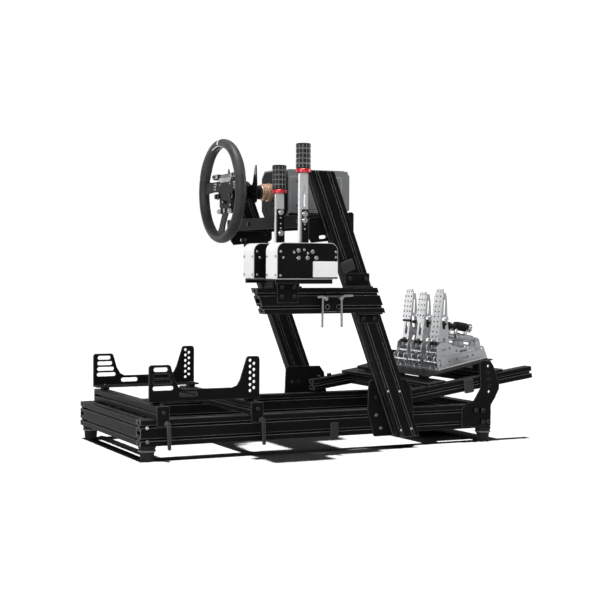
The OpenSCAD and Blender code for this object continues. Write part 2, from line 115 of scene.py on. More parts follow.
def turned(points: Any, origin: Any, rows: np.ndarray) -> np.ndarray:
    """Carries local points into the measuring frame: origin plus the points times the frame's rows."""
    return np.asarray(origin, float) + np.asarray(points, float) @ rows


def circle_of(radius: float, count: int) -> np.ndarray:
    """Points (r cos t, r sin t) of a circle, t running once round."""
    t = angles(count)
    return radius * np.stack([np.cos(t), np.sin(t)], -1)


def polygon_radius(t: np.ndarray, flats: float, sides: int) -> np.ndarray:
    """Distance to a polygon's edge at angle t: half the flats over cos of the angle from a flat's middle."""
    step = 2 * np.pi / sides
    return flats / 2 / np.cos((t + step / 2) % step - step / 2)


def rounded_box(w: float, h: float, r: float, at: tuple = (0, 0), per_corner: int = 6) -> np.ndarray:
    """Outline of a rectangle with quarter circles at its corners.

    Args:
        w: Width.
        h: Height.
        r: Radius of the corners.
        at: Its middle.
        per_corner: Points in each quarter circle.

    Returns:
        Points (k, 2), anticlockwise.
    """
    t = np.linspace(0, np.pi / 2, per_corner)
    arcs = [
        np.array([sx * (w / 2 - r), sy * (h / 2 - r)]) + r * np.stack([np.cos(t + a), np.sin(t + a)], -1)
        for sx, sy, a in ((1, 1, 0), (-1, 1, np.pi / 2), (-1, -1, np.pi), (1, -1, 1.5 * np.pi))
    ]
    return np.concatenate(arcs) + at


def slot_outline(a: Any, b: Any, width: float, steps: int = 8) -> np.ndarray:
    """Outline of a slot between two points: half circles at its ends, joined by straights.

    Args:
        a: Centre of one end.
        b: Centre of the other end.
        width: Across the slot.
        steps: Points in each half circle.

    Returns:
        Points (k, 2), anticlockwise.
    """
    a, b = np.asarray(a, float), np.asarray(b, float)
    turn = math.atan2(*(b - a)[::-1])
    t = np.linspace(-np.pi / 2, np.pi / 2, steps)
    ends = ((b, t + turn), (a, t + (turn + np.pi)))
    return np.concatenate([c + width / 2 * np.stack([np.cos(s), np.sin(s)], -1) for c, s in ends])


def resampled(outline: np.ndarray, count: int) -> np.ndarray:
    """Cuts a closed outline into equal steps of its length.

    Args:
        outline: Points (k, 2).
        count: How many steps.

    Returns:
        Points (count, 2).
    """
    loop = np.concatenate([outline, outline[:1]])
    run = np.concatenate([[0], np.cumsum(np.linalg.norm(np.diff(loop, axis=0), axis=1))])
    at = np.linspace(0, run[-1], count, endpoint=False)
    return np.stack([np.interp(at, run, loop[:, k]) for k in (0, 1)], -1)


def mirrored(half: Profile) -> np.ndarray:
    """A closed outline from its right half, drawn upwards, and the half's mirror image."""
    h = np.asarray(half, float)
    return np.concatenate([h, (h * (-1, 1))[::-1]])


def both_ends(half: Profile) -> Profile:
    """A turned profile from its lower half and that half's mirror image."""
    return half + [(r, -h) for r, h in reversed(half)]


def inset(outline: np.ndarray, by: float) -> np.ndarray:
    """Moves each corner of a closed outline inwards along its mitre.

    The mitre is the sum of the left normals of the two edges that meet there, times 2 over its own square.

    Args:
        outline: Points (k, 2), anticlockwise.
        by: How far.

    Returns:
        The moved points.
    """
    edges = (outline - np.roll(outline, 1, 0), np.roll(outline, -1, 0) - outline)
    normals = [np.stack([-e[:, 1], e[:, 0]], -1) for e in edges]
    mitre = sum(n / np.maximum(np.linalg.norm(n, axis=1, keepdims=True), TINY) for n in normals)
    return outline + by * mitre * (2 / np.maximum((mitre**2).sum(1, keepdims=True), 0.6))


def stacked(rings: list[tuple[np.ndarray, float]]) -> np.ndarray:
    """Outlines with equal counts, each at its own height, as the rows of a grid."""
    return np.stack([np.column_stack([q, np.full(len(q), height)]) for q, height in rings])


def bells(degrees: np.ndarray, centres: tuple, width: float) -> np.ndarray:
    """Sum of bell curves exp(-(d / width)^2) round a circle, d the degrees from each centre."""
    return sum(np.exp(-((((degrees - c) + 180) % 360 - 180) / width) ** 2) for c in centres)


def linked(name: str, data: Any) -> bpy.types.Object:
    """A new object of the scene with that data."""
    thing = bpy.data.objects.new(name, data)
    bpy.context.scene.collection.objects.link(thing)
    return thing


def posed(rows: np.ndarray, place: Any) -> Matrix:
    """Matrix of an object at a place whose own directions are the rows."""
    m = np.eye(4)
    m[:3, :3], m[:3, 3] = rows.T, place
    return Matrix(m.tolist())


class Skin:
    """Collects grid surfaces, in millimetres of the measuring frame, and makes them one mesh object."""

    def __init__(self) -> None:
        """Starts with nothing in it."""
        self.points: list[np.ndarray] = []
        self.faces: list[list[int]] = []
        self.marks: list[int] = []
        self.count = 0

    def grid(self, p: np.ndarray, close_u: bool = False, close_v: bool = False, mark: Any = 0) -> np.ndarray:
        """Adds the surface through a grid of points.

        Args:
            p: Points of shape (m, n, 3).
            close_u: Joins the last row to the first.
            close_v: Joins the last column to the first.
            mark: Which of the object's finishes the faces take, one number or one for each face.

        Returns:
            The grid of vertex numbers.
        """
        m, n = p.shape[:2]
        own = np.arange(m * n).reshape(m, n) + self.count
        self.points.append(p.reshape(-1, 3))
        self.count += m * n
        g = np.concatenate([own, own[:1]], 0) if close_u else own
        g = np.concatenate([g, g[:, :1]], 1) if close_v else g
        quads = np.stack([g[:-1, :-1], g[1:, :-1], g[1:, 1:], g[:-1, 1:]], -1).reshape(-1, 4)
        self.faces += quads.tolist()
        self.marks += np.broadcast_to(mark, (g.shape[0] - 1, g.shape[1] - 1)).ravel().tolist()
        return own

    def ends(self, g: np.ndarray, mark: int = 0) -> None:
        """Closes the first and the last row of a grid of vertex numbers, each with one flat face."""
        self.faces += [g[0][::-1].tolist(), g[-1].tolist()]
        self.marks += [mark, mark]

    def lathe(self, profile: Profile, origin: Any, axis: Any, segments: int = 24, mark: int = 0) -> None:
        """Turns a profile round an axis: (r cos t, r sin t, h).

        Args:
            profile: Points (radius, height).
            origin: Where height zero stands.
            axis: Direction of the height.
            segments: Steps of the turn.
            mark: Which finish the faces take.
        """
        r, h = np.asarray(profile, float).T
        t = angles(segments)[:, None]
        local = np.stack([r * np.cos(t), r * np.sin(t), h + 0 * t], -1)
        self.grid(turned(local, origin, basis(axis)), close_u=True, mark=mark)

    def slab(
        self, outline: np.ndarray, thick: float, origin: Any, rows: np.ndarray, edge: float, mark: int = 0
    ) -> None:
        """Extrudes an outline along the local z, with both rims chamfered by an inset of the outline.

        Args:
            outline: Corner points (k, 2), anticlockwise.
            thick: Height along the local z.
            origin: Where the outline's zero stands.
            rows: Local directions, as basis() gives them.
            edge: Chamfer.
            mark: Which finish the faces take.
        """
        small = inset(outline, edge)
        rings = [(small, 0.0), (outline, edge), (outline, thick - edge), (small, thick)]
        self.ends(self.grid(turned(stacked(rings), origin, rows), close_v=True, mark=mark), mark)

    def holed(
        self, loops: Any, thick: float, origin: Any, rows: np.ndarray, edge: float, mark: int = 0
    ) -> None:
        """Plate with one hole: sections that run from the outline in to the hole and back behind.

        Args:
            loops: Outline and hole, points (k, 2) each, with equal counts, anticlockwise.
            thick: Height along the local z.
            origin: Where the outline's zero stands.
            rows: Local directions.
            edge: Chamfer of all four rims.
            mark: Which finish the faces take.
        """
        (o, i), t = loops, thick
        o2, i2 = inset(o, edge), inset(i, -edge)
        rings = [(i, edge), (i2, 0), (o2, 0), (o, edge), (o, t - edge), (o2, t), (i2, t), (i, t - edge)]
        self.grid(turned(stacked(rings), origin, rows), close_u=True, close_v=True, mark=mark)

    def carried(self, profile: np.ndarray, path: np.ndarray, side: np.ndarray, mark: int) -> None:
        """Carries a closed profile along a path: at each point its axes are side and tangent x side.

        Args:
            profile: Points (k, 2) of the section.
            path: Points (n, 3).
            side: Direction the profile's first axis keeps to.
            mark: Which finish the faces take.
        """
        tangent = np.gradient(path, axis=0)
        tangent /= np.linalg.norm(tangent, axis=1, keepdims=True)
        u = side - (tangent @ side)[:, None] * tangent
        u /= np.linalg.norm(u, axis=1, keepdims=True)
        w = np.cross(tangent, u)
        p = path[:, None] + (profile[:, :1] * u[:, None] + profile[:, 1:] * w[:, None])
        self.ends(self.grid(p, close_v=True, mark=mark), mark)

    def build(self, name: str, body: str, finishes: list["Finish"], slot: str, *hides: str) -> None:
        """Makes the mesh object, closes its seams, turns its faces outwards and puts it on its body.

        Args:
            name: The piece's name.
            body: The body it rides on.
            finishes: Finishes, in the order of the marks.
            slot: The record's material slot; not used.
            hides: Nodes that it stands for.
        """
        co = (np.concatenate(self.points) + ZERO) * MM
        mesh = bpy.data.meshes.new(name)
        mesh.from_pydata(co.tolist(), [], self.faces)
        mesh.polygons.foreach_set("material_index", np.array(self.marks, np.int32))
        bm = bmesh.new()
        bm.from_mesh(mesh)
        bmesh.ops.remove_doubles(bm, verts=bm.verts, dist=SEAM)
        bmesh.ops.recalc_face_normals(bm, faces=bm.faces)
        bm.to_mesh(mesh)
        bm.free()
        mesh.polygons.foreach_set("use_smooth", np.ones(len(mesh.polygons), bool))
        mesh.set_sharp_from_angle(angle=math.radians(SHARP))
        for finish in finishes:
            mesh.materials.append(finish.material())
        piece = linked(name, mesh)
        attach(piece, body)
        if hides:
            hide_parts(*hides)
        LOG.info("%s: %d faces on %s", name, len(mesh.polygons), body)


class Value:
    """A socket that gives a number, with arithmetic that adds Math nodes."""

    def __init__(self, graph: "Graph", socket: bpy.types.NodeSocket) -> None:
        """Wraps an output socket."""
        self.graph = graph
        self.socket = socket

    def _math(self, operation: str, a: Any, b: Any) -> "Value":
        """Adds a Math node on two numbers or values."""
        node = self.graph.add("ShaderNodeMath", {"operation": operation}, {0: a, 1: b})
        return Value(self.graph, node.outputs[0])

    def __add__(self, other: Any) -> "Value":
        """Sum."""
        return self._math("ADD", self, other)

    __radd__ = __add__

    def __sub__(self, other: Any) -> "Value":
        """Difference."""
        return self._math("SUBTRACT", self, other)

    def __rsub__(self, other: Any) -> "Value":
        """Difference the other way round."""
        return self._math("SUBTRACT", other, self)

    def __mul__(self, other: Any) -> "Value":
        """Product."""
        return self._math("MULTIPLY", self, other)

    __rmul__ = __mul__

    def ramp(self, low: float, high: float) -> "Value":
        """Smooth step from 0 at low to 1 at high."""
        sockets = {0: self, 1: low, 2: high, 3: 0.0, 4: 1.0}
        node = self.graph.add("ShaderNodeMapRange", {"interpolation_type": "SMOOTHSTEP"}, sockets)
        return Value(self.graph, node.outputs[0])


class Graph:
    """The node tree of a material or of the world."""

    def __init__(self, owner: Any, ending: str = "ShaderNodeOutputMaterial") -> None:
        """Empties the owner's tree and adds its output node.

        Args:
            owner: The material or world.
            ending: Type of the output node.
        """
        owner.use_nodes = True
        self.owner = owner
        self.tree = owner.node_tree
        self.tree.nodes.clear()
        self.out = self.add(ending)

    @cached_property
    def place(self) -> bpy.types.NodeSocket:
        """Object coordinates."""
        return self.add("ShaderNodeTexCoord").outputs["Object"]

    def add(self, kind: str, settings: dict | None = None, sockets: dict | None = None) -> Any:
        """Adds one node.

        Args:
            kind: Node type.
            settings: Attributes, set before the sockets.
            sockets: Input name or number to a number, colour, vector, socket or Value.

        Returns:
            The node.
        """
        node = self.tree.nodes.new(kind)
        for key, value in (settings or {}).items():
            setattr(node, key, value)
        for key, value in (sockets or {}).items():
            value = value.socket if isinstance(value, Value) else value
            if isinstance(value, bpy.types.NodeSocket):
                self.tree.links.new(value, node.inputs[key])
            else:
                node.inputs[key].default_value = value
        return node

    def stretched(self, by: tuple[float, ...]) -> bpy.types.NodeSocket:
        """Object coordinates with each axis multiplied."""
        return self.add("ShaderNodeVectorMath", {"operation": "MULTIPLY"}, {0: self.place, 1: by}).outputs[0]

    def noise(self, scale: float, detail: float = 3.0, rough: float = 0.55, coords: Any = None) -> Value:
        """Fractal noise between about 0.2 and 0.8."""
        sockets = {"Vector": coords or self.place, "Scale": scale, "Detail": detail, "Roughness": rough}
        return Value(self, self.add("ShaderNodeTexNoise", {}, sockets).outputs[0])

    def cells(self, scale: float, feature: str = "F1") -> Value:
        """Distance of the Voronoi pattern."""
        sockets = {"Vector": self.place, "Scale": scale}
        node = self.add("ShaderNodeTexVoronoi", {"feature": feature}, sockets)
        return Value(self, node.outputs["Distance"])

    def mix(self, factor: Value, a: Any, b: Any) -> bpy.types.NodeSocket:
        """Mixes two colours.

        Args:
            factor: 0 for the first, 1 for the second.
            a: First colour, a triple or a socket.
            b: Second colour, a triple or a socket.

        Returns:
            The colour's socket.
        """
        a = (*a, 1.0) if isinstance(a, tuple) else a
        b = (*b, 1.0) if isinstance(b, tuple) else b
        return self.add("ShaderNodeMix", {"data_type": "RGBA"}, {0: factor, 6: a, 7: b}).outputs[2]

    def rounded(self, radius_mm: float) -> tuple[bpy.types.NodeSocket, Value]:
        """Rounds the edges over in the shading.

        Args:
            radius_mm: Radius of the rounding.

        Returns:
            The rounded normal, and a mask of the edges: how far it leans from the plain normal.
        """
        soft = self.add("ShaderNodeBevel", {"samples": 6}, {"Radius": radius_mm * MM}).outputs[0]
        plain = self.add("ShaderNodeNewGeometry").outputs["Normal"]
        dot = self.add("ShaderNodeVectorMath", {"operation": "DOT_PRODUCT"}, {0: soft, 1: plain})
        return soft, (1 - Value(self, dot.outputs["Value"])).ramp(0.01, 0.16)

    def bump(self, height: Value, depth_mm: float, strength: float, over: Any = None) -> Any:
        """Raises the surface in the shading.

        Args:
            height: Pattern of the relief.
            depth_mm: Its depth.
            strength: How much of it shows.
            over: Normal that it starts from, if not the plain one.

        Returns:
            The normal's socket.
        """
        sockets = {"Strength": strength, "Distance": depth_mm * MM, "Height": height}
        if over is not None:
            sockets["Normal"] = over
        return self.add("ShaderNodeBump", {}, sockets).outputs[0]

    def end(self, shader: bpy.types.Node) -> Any:
        """Ends the tree in a shader and gives its owner back."""
        self.tree.links.new(shader.outputs[0], self.out.inputs[0])
        return self.owner

    def principled(self, color: Any, roughness: Value, normal: Any, others: dict) -> bpy.types.Material:
        """Ends the material in a Principled shader.

        Args:
            color: Socket of the base colour.
            roughness: Roughness.
            normal: Socket of the normal.
            others: Further inputs by name.

        Returns:
            The material.
        """
        sockets = {"Base Color": color, "Roughness": roughness, "Normal": normal, **others}
        return self.end(self.add("ShaderNodeBsdfPrincipled", {}, sockets))


@dataclass(frozen=True)
class Finish:
    """A surface finish; each one is made into a material once."""

    name: str
    color: Color = (0.8, 0.8, 0.8)
    roughness: float = 0.4

    def draw(self, g: Graph) -> bpy.types.Material:
        """Fills the material's nodes."""
        raise NotImplementedError

    def shade(self, by: float, lift: float = 0.0) -> Color:
        """The finish's colour, scaled and lifted."""
        return tuple(c * by + lift for c in self.color)

    def material(self) -> bpy.types.Material:
        """The finish's material, made on first use."""
        return bpy.data.materials.get(self.name) or self.draw(Graph(bpy.data.materials.new(self.name)))

    def dress(self, *nodes: str) -> None:
        """Gives the finish to solids of the model."""
        for node in nodes:
            for material_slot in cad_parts[node].material_slots:
                material_slot.material = self.material()
            LOG.info("%s: %s", node, self.name)


@dataclass(frozen=True)
class Anodised(Finish):
    """Satin anodised extrusion with fine die lines along one direction, and a painted highlight along its
    edges.
    """

    color: Color = (0.0045, 0.0046, 0.0052)
    roughness: float = 0.34
    lines: Axis = Axis.X
    edge_mm: float = 2.6
    # Light colour of the painted highlight along the edges
    edge_highlight: Color = (0.42, 0.42, 0.43)
    dusty: Color = (0.1, 0.1, 0.105)

    def draw(self, g: Graph) -> bpy.types.Material:
        """Noise stretched along the extrusion makes die lines, slow noise the sheen, fine noise dust."""
        stretch = [900.0, 900.0, 900.0]
        stretch[self.lines.value] = 6.0
        lines = g.noise(1.0, 2.0, 0.6, g.stretched(tuple(stretch)))
        cloud = g.noise(9.0)
        dust = g.noise(260.0, 4.0, 0.7).ramp(0.62, 0.8)
        tone = g.mix(cloud.ramp(0.35, 0.75) * 0.5 + lines * 0.25, self.color, self.shade(1.6, 0.002))
        soft, edge = g.rounded(self.edge_mm)
        # Painted highlight: the rounded edges take a light colour that stands for light caught on the corners
        color = g.mix(edge * (cloud * 0.7 + 0.4), g.mix(dust * 0.1, tone, self.dusty), self.edge_highlight)
        roughness = lines * 0.16 + cloud * 0.1 + (self.roughness - 0.13)
        return g.principled(color, roughness, g.bump(lines, 0.03, 0.6, soft), {"Specular IOR Level": 0.05})


@dataclass(frozen=True)
class Powder(Finish):
    """Powder coat: fine orange-peel grain, slightly uneven gloss, faint scuffs, a painted highlight along the
    edges.
    """

    color: Color = (0.005, 0.005, 0.0056)
    roughness: float = 0.46
    grain_mm: float = 1.4
    depth_mm: float = 0.035
    edge_mm: float = 2.6
    # Light colour of the painted highlight along the edges
    edge_highlight: Color = (0.26, 0.26, 0.268)

    def draw(self, g: Graph) -> bpy.types.Material:
        """Two octaves of noise raise the grain; scuffs are thin bands of stretched noise."""
        grain = g.noise(1000.0 / self.grain_mm, 2.0, 0.5)
        cloud = g.noise(7.0, 4.0)
        scuff = g.noise(1.0, 2.0, 0.5, g.stretched((55.0, 420.0, 30.0))).ramp(0.68, 0.76)
        soft, edge = g.rounded(self.edge_mm)
        tone = g.mix(cloud.ramp(0.3, 0.8), self.color, self.shade(1.5, 0.0015))
        # Painted highlight: the rounded edges take a light colour that stands for light caught on the corners
        color = g.mix(edge * (cloud * 0.7 + 0.2), tone, self.edge_highlight)
        roughness = grain * 0.14 + cloud * 0.12 - scuff * 0.08 + (self.roughness - 0.12)
        normal = g.bump(grain, self.depth_mm, 0.8, soft)
        return g.principled(color, roughness, normal, {"Specular IOR Level": 0.05})


@dataclass(frozen=True)
class Brushed(Finish):
    """Bright metal, brushed along one direction, with faint finger marks."""

    color: Color = (0.62, 0.63, 0.65)
    roughness: float = 0.3
    lines: Axis = Axis.Z
    metallic: float = 1.0

    def draw(self, g: Graph) -> bpy.types.Material:
        """Brushing is noise squeezed across the lines; marks are slow noise in the roughness."""
        stretch = [1300.0, 1300.0, 1300.0]
        stretch[self.lines.value] = 14.0
        lines = g.noise(1.0, 3.0, 0.65, g.stretched(tuple(stretch)))
        marks = g.noise(28.0)
        color = g.mix(lines.ramp(0.3, 0.7) * 0.7 + marks * 0.3, self.shade(0.74), self.color)
        roughness = lines * 0.2 + marks * 0.14 + (self.roughness - 0.16)
        return g.principled(color, roughness, g.bump(lines, 0.02, 0.7), {"Metallic": self.metallic})


@dataclass(frozen=True)
class Plated(Finish):
    """Bright plated steel of bolts, rods and levers."""

    color: Color = (0.66, 0.67, 0.69)
    roughness: float = 0.2

    def draw(self, g: Graph) -> bpy.types.Material:
        """Even metal with small waviness and darker specks."""
        wave = g.noise(140.0, 2.0)
        specks = g.noise(900.0, 2.0).ramp(0.66, 0.8)
        color = g.mix(specks * 0.5, self.color, self.shade(0.55))
        roughness = wave * 0.14 + specks * 0.2 + (self.roughness - 0.06)
        return g.principled(color, roughness, g.bump(wave, 0.05, 0.35), {"Metallic": 1.0})


@dataclass(frozen=True)
class Moulded(Finish):
    """Moulded plastic or rubber with a pebbled grain."""

    color: Color = (0.011, 0.011, 0.012)
    roughness: float = 0.52
    grain_mm: float = 0.6
    depth_mm: float = 0.03

    def draw(self, g: Graph) -> bpy.types.Material:
        """The grain is a Voronoi distance, the wear a slow noise that lightens and dulls."""
        pebble = g.cells(1000.0 / self.grain_mm)
        wear = g.noise(18.0, 4.0, 0.6)
        color = g.mix(wear.ramp(0.4, 0.85), self.color, self.shade(1.8, 0.01))
        roughness = wear * 0.16 + pebble * 0.1 + (self.roughness - 0.12)
        normal = g.bump(pebble, self.depth_mm, 0.6)
        return g.principled(color, roughness, normal, {"Specular IOR Level": 0.16})


@dataclass(frozen=True)
class Paint(Finish):
    """Smooth coloured coat over metal, with a thin clear coat."""

    roughness: float = 0.34
    metallic: float = 0.0
    coat: float = 0.15

    def draw(self, g: Graph) -> bpy.types.Material:
        """Slight mottling of colour and gloss, and a shallow orange peel."""
        mottle = g.noise(16.0)
        peel = g.noise(520.0, 2.0)
        color = g.mix(mottle.ramp(0.3, 0.75), self.shade(0.9), self.color)
        roughness = mottle * 0.12 + peel * 0.06 + (self.roughness - 0.09)
        others = {"Metallic": self.metallic, "Coat Weight": self.coat}
        return g.principled(color, roughness, g.bump(peel, 0.02, 0.5), others)


@dataclass(frozen=True)
class Leather(Finish):
    """Wrapped rim cover: pebbled grain, fine creases, and a sheen that varies with wear."""

    roughness: float = 0.34

    def draw(self, g: Graph) -> bpy.types.Material:
        """Cells make the pebbles, their edges the creases; noise wears the tops brighter."""
        pebble = g.cells(620.0, "SMOOTH_F1")
        crease = g.cells(190.0, "DISTANCE_TO_EDGE").ramp(0.0, 0.09)
        wear = g.noise(22.0, 4.0, 0.6)
        color = g.mix(wear.ramp(0.35, 0.75) * 0.7 + crease * 0.2, self.color, self.shade(2.2))
        roughness = wear * 0.2 + pebble * 0.12 + self.roughness
        normal = g.bump(pebble * 0.6 + crease * 0.4, 0.09, 0.6)
        return g.principled(color, roughness, normal, {"Specular IOR Level": 0.3})


class Metal:
    """The bright and dark metal finishes."""

    PEDAL = Brushed("pedal_brushed", (0.6, 0.61, 0.62), metallic=0.85)
    BASE = Brushed("pedal_base_steel", (0.56, 0.57, 0.58), 0.32, Axis.X, 0.7)
    LEVER = Brushed("lever_bar", (0.66, 0.67, 0.68), 0.32, metallic=0.55)
    DAMPER = Brushed("damper_barrel", (0.46, 0.47, 0.49), lines=Axis.X)
    PLATED = Plated("plated")
    SCREW = Plated("screw_steel", (0.4, 0.41, 0.42), 0.26)
    BLACK_SCREW = Plated("black_screw", (0.05, 0.05, 0.054), 0.3)
    DARK_STEEL = Plated("dark_steel", (0.2, 0.2, 0.21), 0.3)


class Coat:
    """The black, white and coloured coats."""

    RAIL = Anodised("profile_along")
    CROSS = Anodised("profile_across", lines=Axis.Y)
    UPRIGHT = Anodised("profile_upright", lines=Axis.Z)
    PLATE = Powder("black_plate")
    HANDLE = Powder("ratchet_handle", (0.035, 0.035, 0.037), 0.36)
    DECK = Powder("deck_plate", (0.006, 0.006, 0.0065), 0.4)
    UNIT_SIDE = Powder("unit_side", roughness=0.42, grain_mm=0.9)
    MOTOR_DARK = Powder("motor_dark", roughness=0.42, grain_mm=0.8)
    WHITE = Paint("white_shell", (0.9, 0.9, 0.9))
    RED = Paint("red_ring", (0.62, 0.02, 0.035), 0.28, metallic=0.4, coat=0.4)
    COPPER = Paint("copper_anodised", (0.93, 0.63, 0.45), 0.26, metallic=0.5, coat=0.0)
    MOTOR = Paint("motor_case", (0.2, 0.205, 0.21), 0.42, metallic=0.3, coat=0.0)
    GLOSS = Paint("black_gloss", (0.006, 0.006, 0.0065), 0.24, coat=0.1)


class Soft:
    """Rubber, plastic and leather."""

    FOOT = Moulded("foot_rubber", roughness=0.62, grain_mm=0.9, depth_mm=0.06)
    SPRING = Moulded("spring_pack", (0.009, 0.009, 0.009), 0.5, grain_mm=0.9, depth_mm=0.06)
    GRIP = Moulded("grip_rubber", (0.008, 0.008, 0.0085), 0.42, grain_mm=0.5)
    PLASTIC = Moulded("black_plastic", (0.009, 0.009, 0.0095), 0.46)
    HUB = Moulded("hub_plastic", (0.009, 0.009, 0.01), 0.56)
    GREY = Moulded("grey_plastic", (0.2, 0.2, 0.21), 0.44)
    PALE = Moulded("pale_plastic", (0.42, 0.42, 0.43), 0.4, depth_mm=0.02)
    SPOKE = Moulded("spoke_cover", (0.02, 0.02, 0.0215), 0.5, grain_mm=0.5)
    RIM = Leather("rim_leather", (0.03, 0.03, 0.0315))
    # A darker copy of the rim leather, painted shade for the rim's side and lower arcs
    RIM_SHADE = Leather("rim_leather_painted_shade", (0.019, 0.019, 0.02))


@dataclass
class Bolts:
    """Socket-head screws of one size, all in one mesh."""

    head: float = 13.0
    tall: float = 5.0
    socket: float = 6.0
    segments: int = 18
    skin: Skin = field(default_factory=Skin)

    def add(self, seats: Any, axis: Any) -> None:
        """Adds screws: a turned head with a hexagonal socket, where the radius runs with the angle.

        Args:
            seats: Their seats (n, 3) in the measuring frame.
            axis: Direction the heads stand out in.
        """
        r, h, s = self.head / 2, self.tall, self.socket
        t = angles(self.segments)[:, None]
        hexed = polygon_radius(t, s, 6)
        rings = [(r - 0.2, 0.0), (r, 0.3), (r, h - 0.9), (r - 0.9, h), (s * 0.66, h)]
        radius = np.concatenate([np.full_like(t, a) for a, _ in rings] + [hexed, hexed, 0 * t], 1)
        height = np.array([b for _, b in rings] + [h - 0.2, h * 0.45, h * 0.38]) + 0 * radius
        local = np.stack([radius * np.cos(t), radius * np.sin(t), height], -1)
        for seat in seats:
            self.skin.grid(turned(local, seat, basis(axis)), close_u=True)

    def both_sides(self, spots: Any, half: float, middle: float = 0.0) -> None:
        """Adds screws at the (x, z) spots of two faces, half away from the middle, with their heads out."""
        for side in SIDES:
            self.add([(x, middle + side * half, z) for x, z in spots], (0, side, 0))

    def build(self, name: str, body: str, finish: Finish) -> None:
        """Makes the object."""
        self.skin.build(name, body, [finish], "lever")


@dataclass
class BaseFrame:
    """Base rails, feet, uprights with their plates, and what is bolted to them."""

    half_w: float = 310.0
    plate: float = 5.0
    rail_ends: tuple[float, float] = (21, 1229)
    feet_x: tuple[float, float] = (29, 1236)
    feet_y: float = 286.0
    upright_lean: float = 20.6
    upright_face: float = 355.0
    tray_tilt: float = 7.9

    def finishes(self) -> None:
        """Finishes of the solids."""
        Coat.RAIL.dress("side_rail_right", "side_rail_left", "side_arm")
        Coat.CROSS.dress("base_cross_rails", "seat_cross_rails")
        Coat.UPRIGHT.dress("upright_right", "upright_left")
        Coat.PLATE.dress("upright_foot_plates", "side_arm_brackets")
        Soft.FOOT.dress("feet")

    def bolts(self) -> None:
        """Screws of the rail ends and foot plates, the upper rail ones flush, and the feet's rings."""
        plates, small = Bolts(head=12), Bolts(7.5, 3.5, 3.4, 14)
        flush = Bolts(head=11, tall=0.5, socket=5, skin=small.skin)
        plates.both_sides([(802, 62), (819, 19)], self.half_w + self.plate)
        plates.both_sides([(x, 14) for x in self.rail_ends], self.half_w)
        flush.both_sides([(x, 56) for x in self.rail_ends], self.half_w)
        small.both_sides([(824, 142), (867, 140), (873, 14), (912, 17)], self.upright_face)
        plates.build("frame_bolts", "frame", Metal.DARK_STEEL)
        small.build("frame_screws", "frame", Metal.PLATED)
        rings = Skin()
        ring = [(20, -12), (26, -12), (27, -13), (27, -16.5), (26, -17.5), (20, -17.5)]
        for x in self.feet_x:
            for side in SIDES:
                rings.lathe(ring, (x, side * self.feet_y, 0), UP, 40)
        rings.build("foot_rings", "frame", [Metal.DARK_STEEL], "lever")

    def clips(self) -> None:
        """Cable clips over a base rail, an upright and a pedal rail, each tilted with its rail."""
        skin = Skin()
        for w, h, thick, place, tilt in (
            (28, 55, 9, (650, -self.half_w, 18.5), 0),
            (44, 36, 6, (673, -self.upright_face, 545), self.upright_lean),
            (36, 46, 8, (1160, -self.half_w, 144), self.tray_tilt),
        ):
            skin.slab(rounded_box(w, h, 4), thick, place, side_on(tilted(tilt)), 1.5)
        skin.build("cable_clips", "frame", [Coat.HANDLE], "wheel_plastic")

    def build(self) -> None:
        """Everything above."""
        self.finishes()
        self.bolts()
        self.clips()


@dataclass
class SeatFrame:
    """Sliding seat rails with brackets and clamping levers."""

    clamp_face: float = 315.3
    bracket_y: float = 252.0
    rails: tuple[float, float] = (50, 361)

    def build(self) -> None:
        """Finishes, and the screws of the clamp plates and of the brackets."""
        Coat.PLATE.dress("seat_bracket_right", "seat_bracket_left", "seat_clamp_plates")
        for side in ("right", "left"):
            Coat.HANDLE.dress(f"seat_lever_rear_{side}", f"seat_lever_front_{side}")
        screws = Bolts()
        screws.both_sides([(x + 20, 101) for x in self.rails], self.clamp_face)
        screws.add([(x + 18, side * self.bracket_y, 135.5) for x in self.rails for side in SIDES], UP)
        screws.build("seat_screws", "seat_frame", Metal.BLACK_SCREW)


@dataclass
class PedalTray:
    """Tilted rails, their plates and cross members, and the pedal deck."""

    tilt: float = 7.9
    rail_start: tuple[float, float, float] = (870, 0, 107.1)
    rail_top: float = 20.0
    rail_y: float = 290.0
    plate_face: float = 315.0

    def build(self) -> None:
        """Finishes, and the screws on top of the rails and through the support plates."""
        Coat.RAIL.dress("pedal_rail_right", "pedal_rail_left")
        Coat.CROSS.dress("pedal_cross_rails")
        Coat.PLATE.dress("pedal_support_plates")
        Coat.DECK.dress("pedal_deck")
        rows = tilted(self.tilt)
        screws = Bolts(head=16, tall=11)
        seats = [(x, side * self.rail_y, self.rail_top) for x in (33, 77, 174, 419) for side in SIDES]
        screws.add(turned(seats, self.rail_start, rows), rows[2])
        plates = Bolts(head=16, tall=11, skin=screws.skin)
        plates.both_sides([(1184, 62), (1212, 60), (1213, 21), (1233, 22)], self.plate_face)
        screws.build("tray_screws", "frame", Metal.BLACK_SCREW)


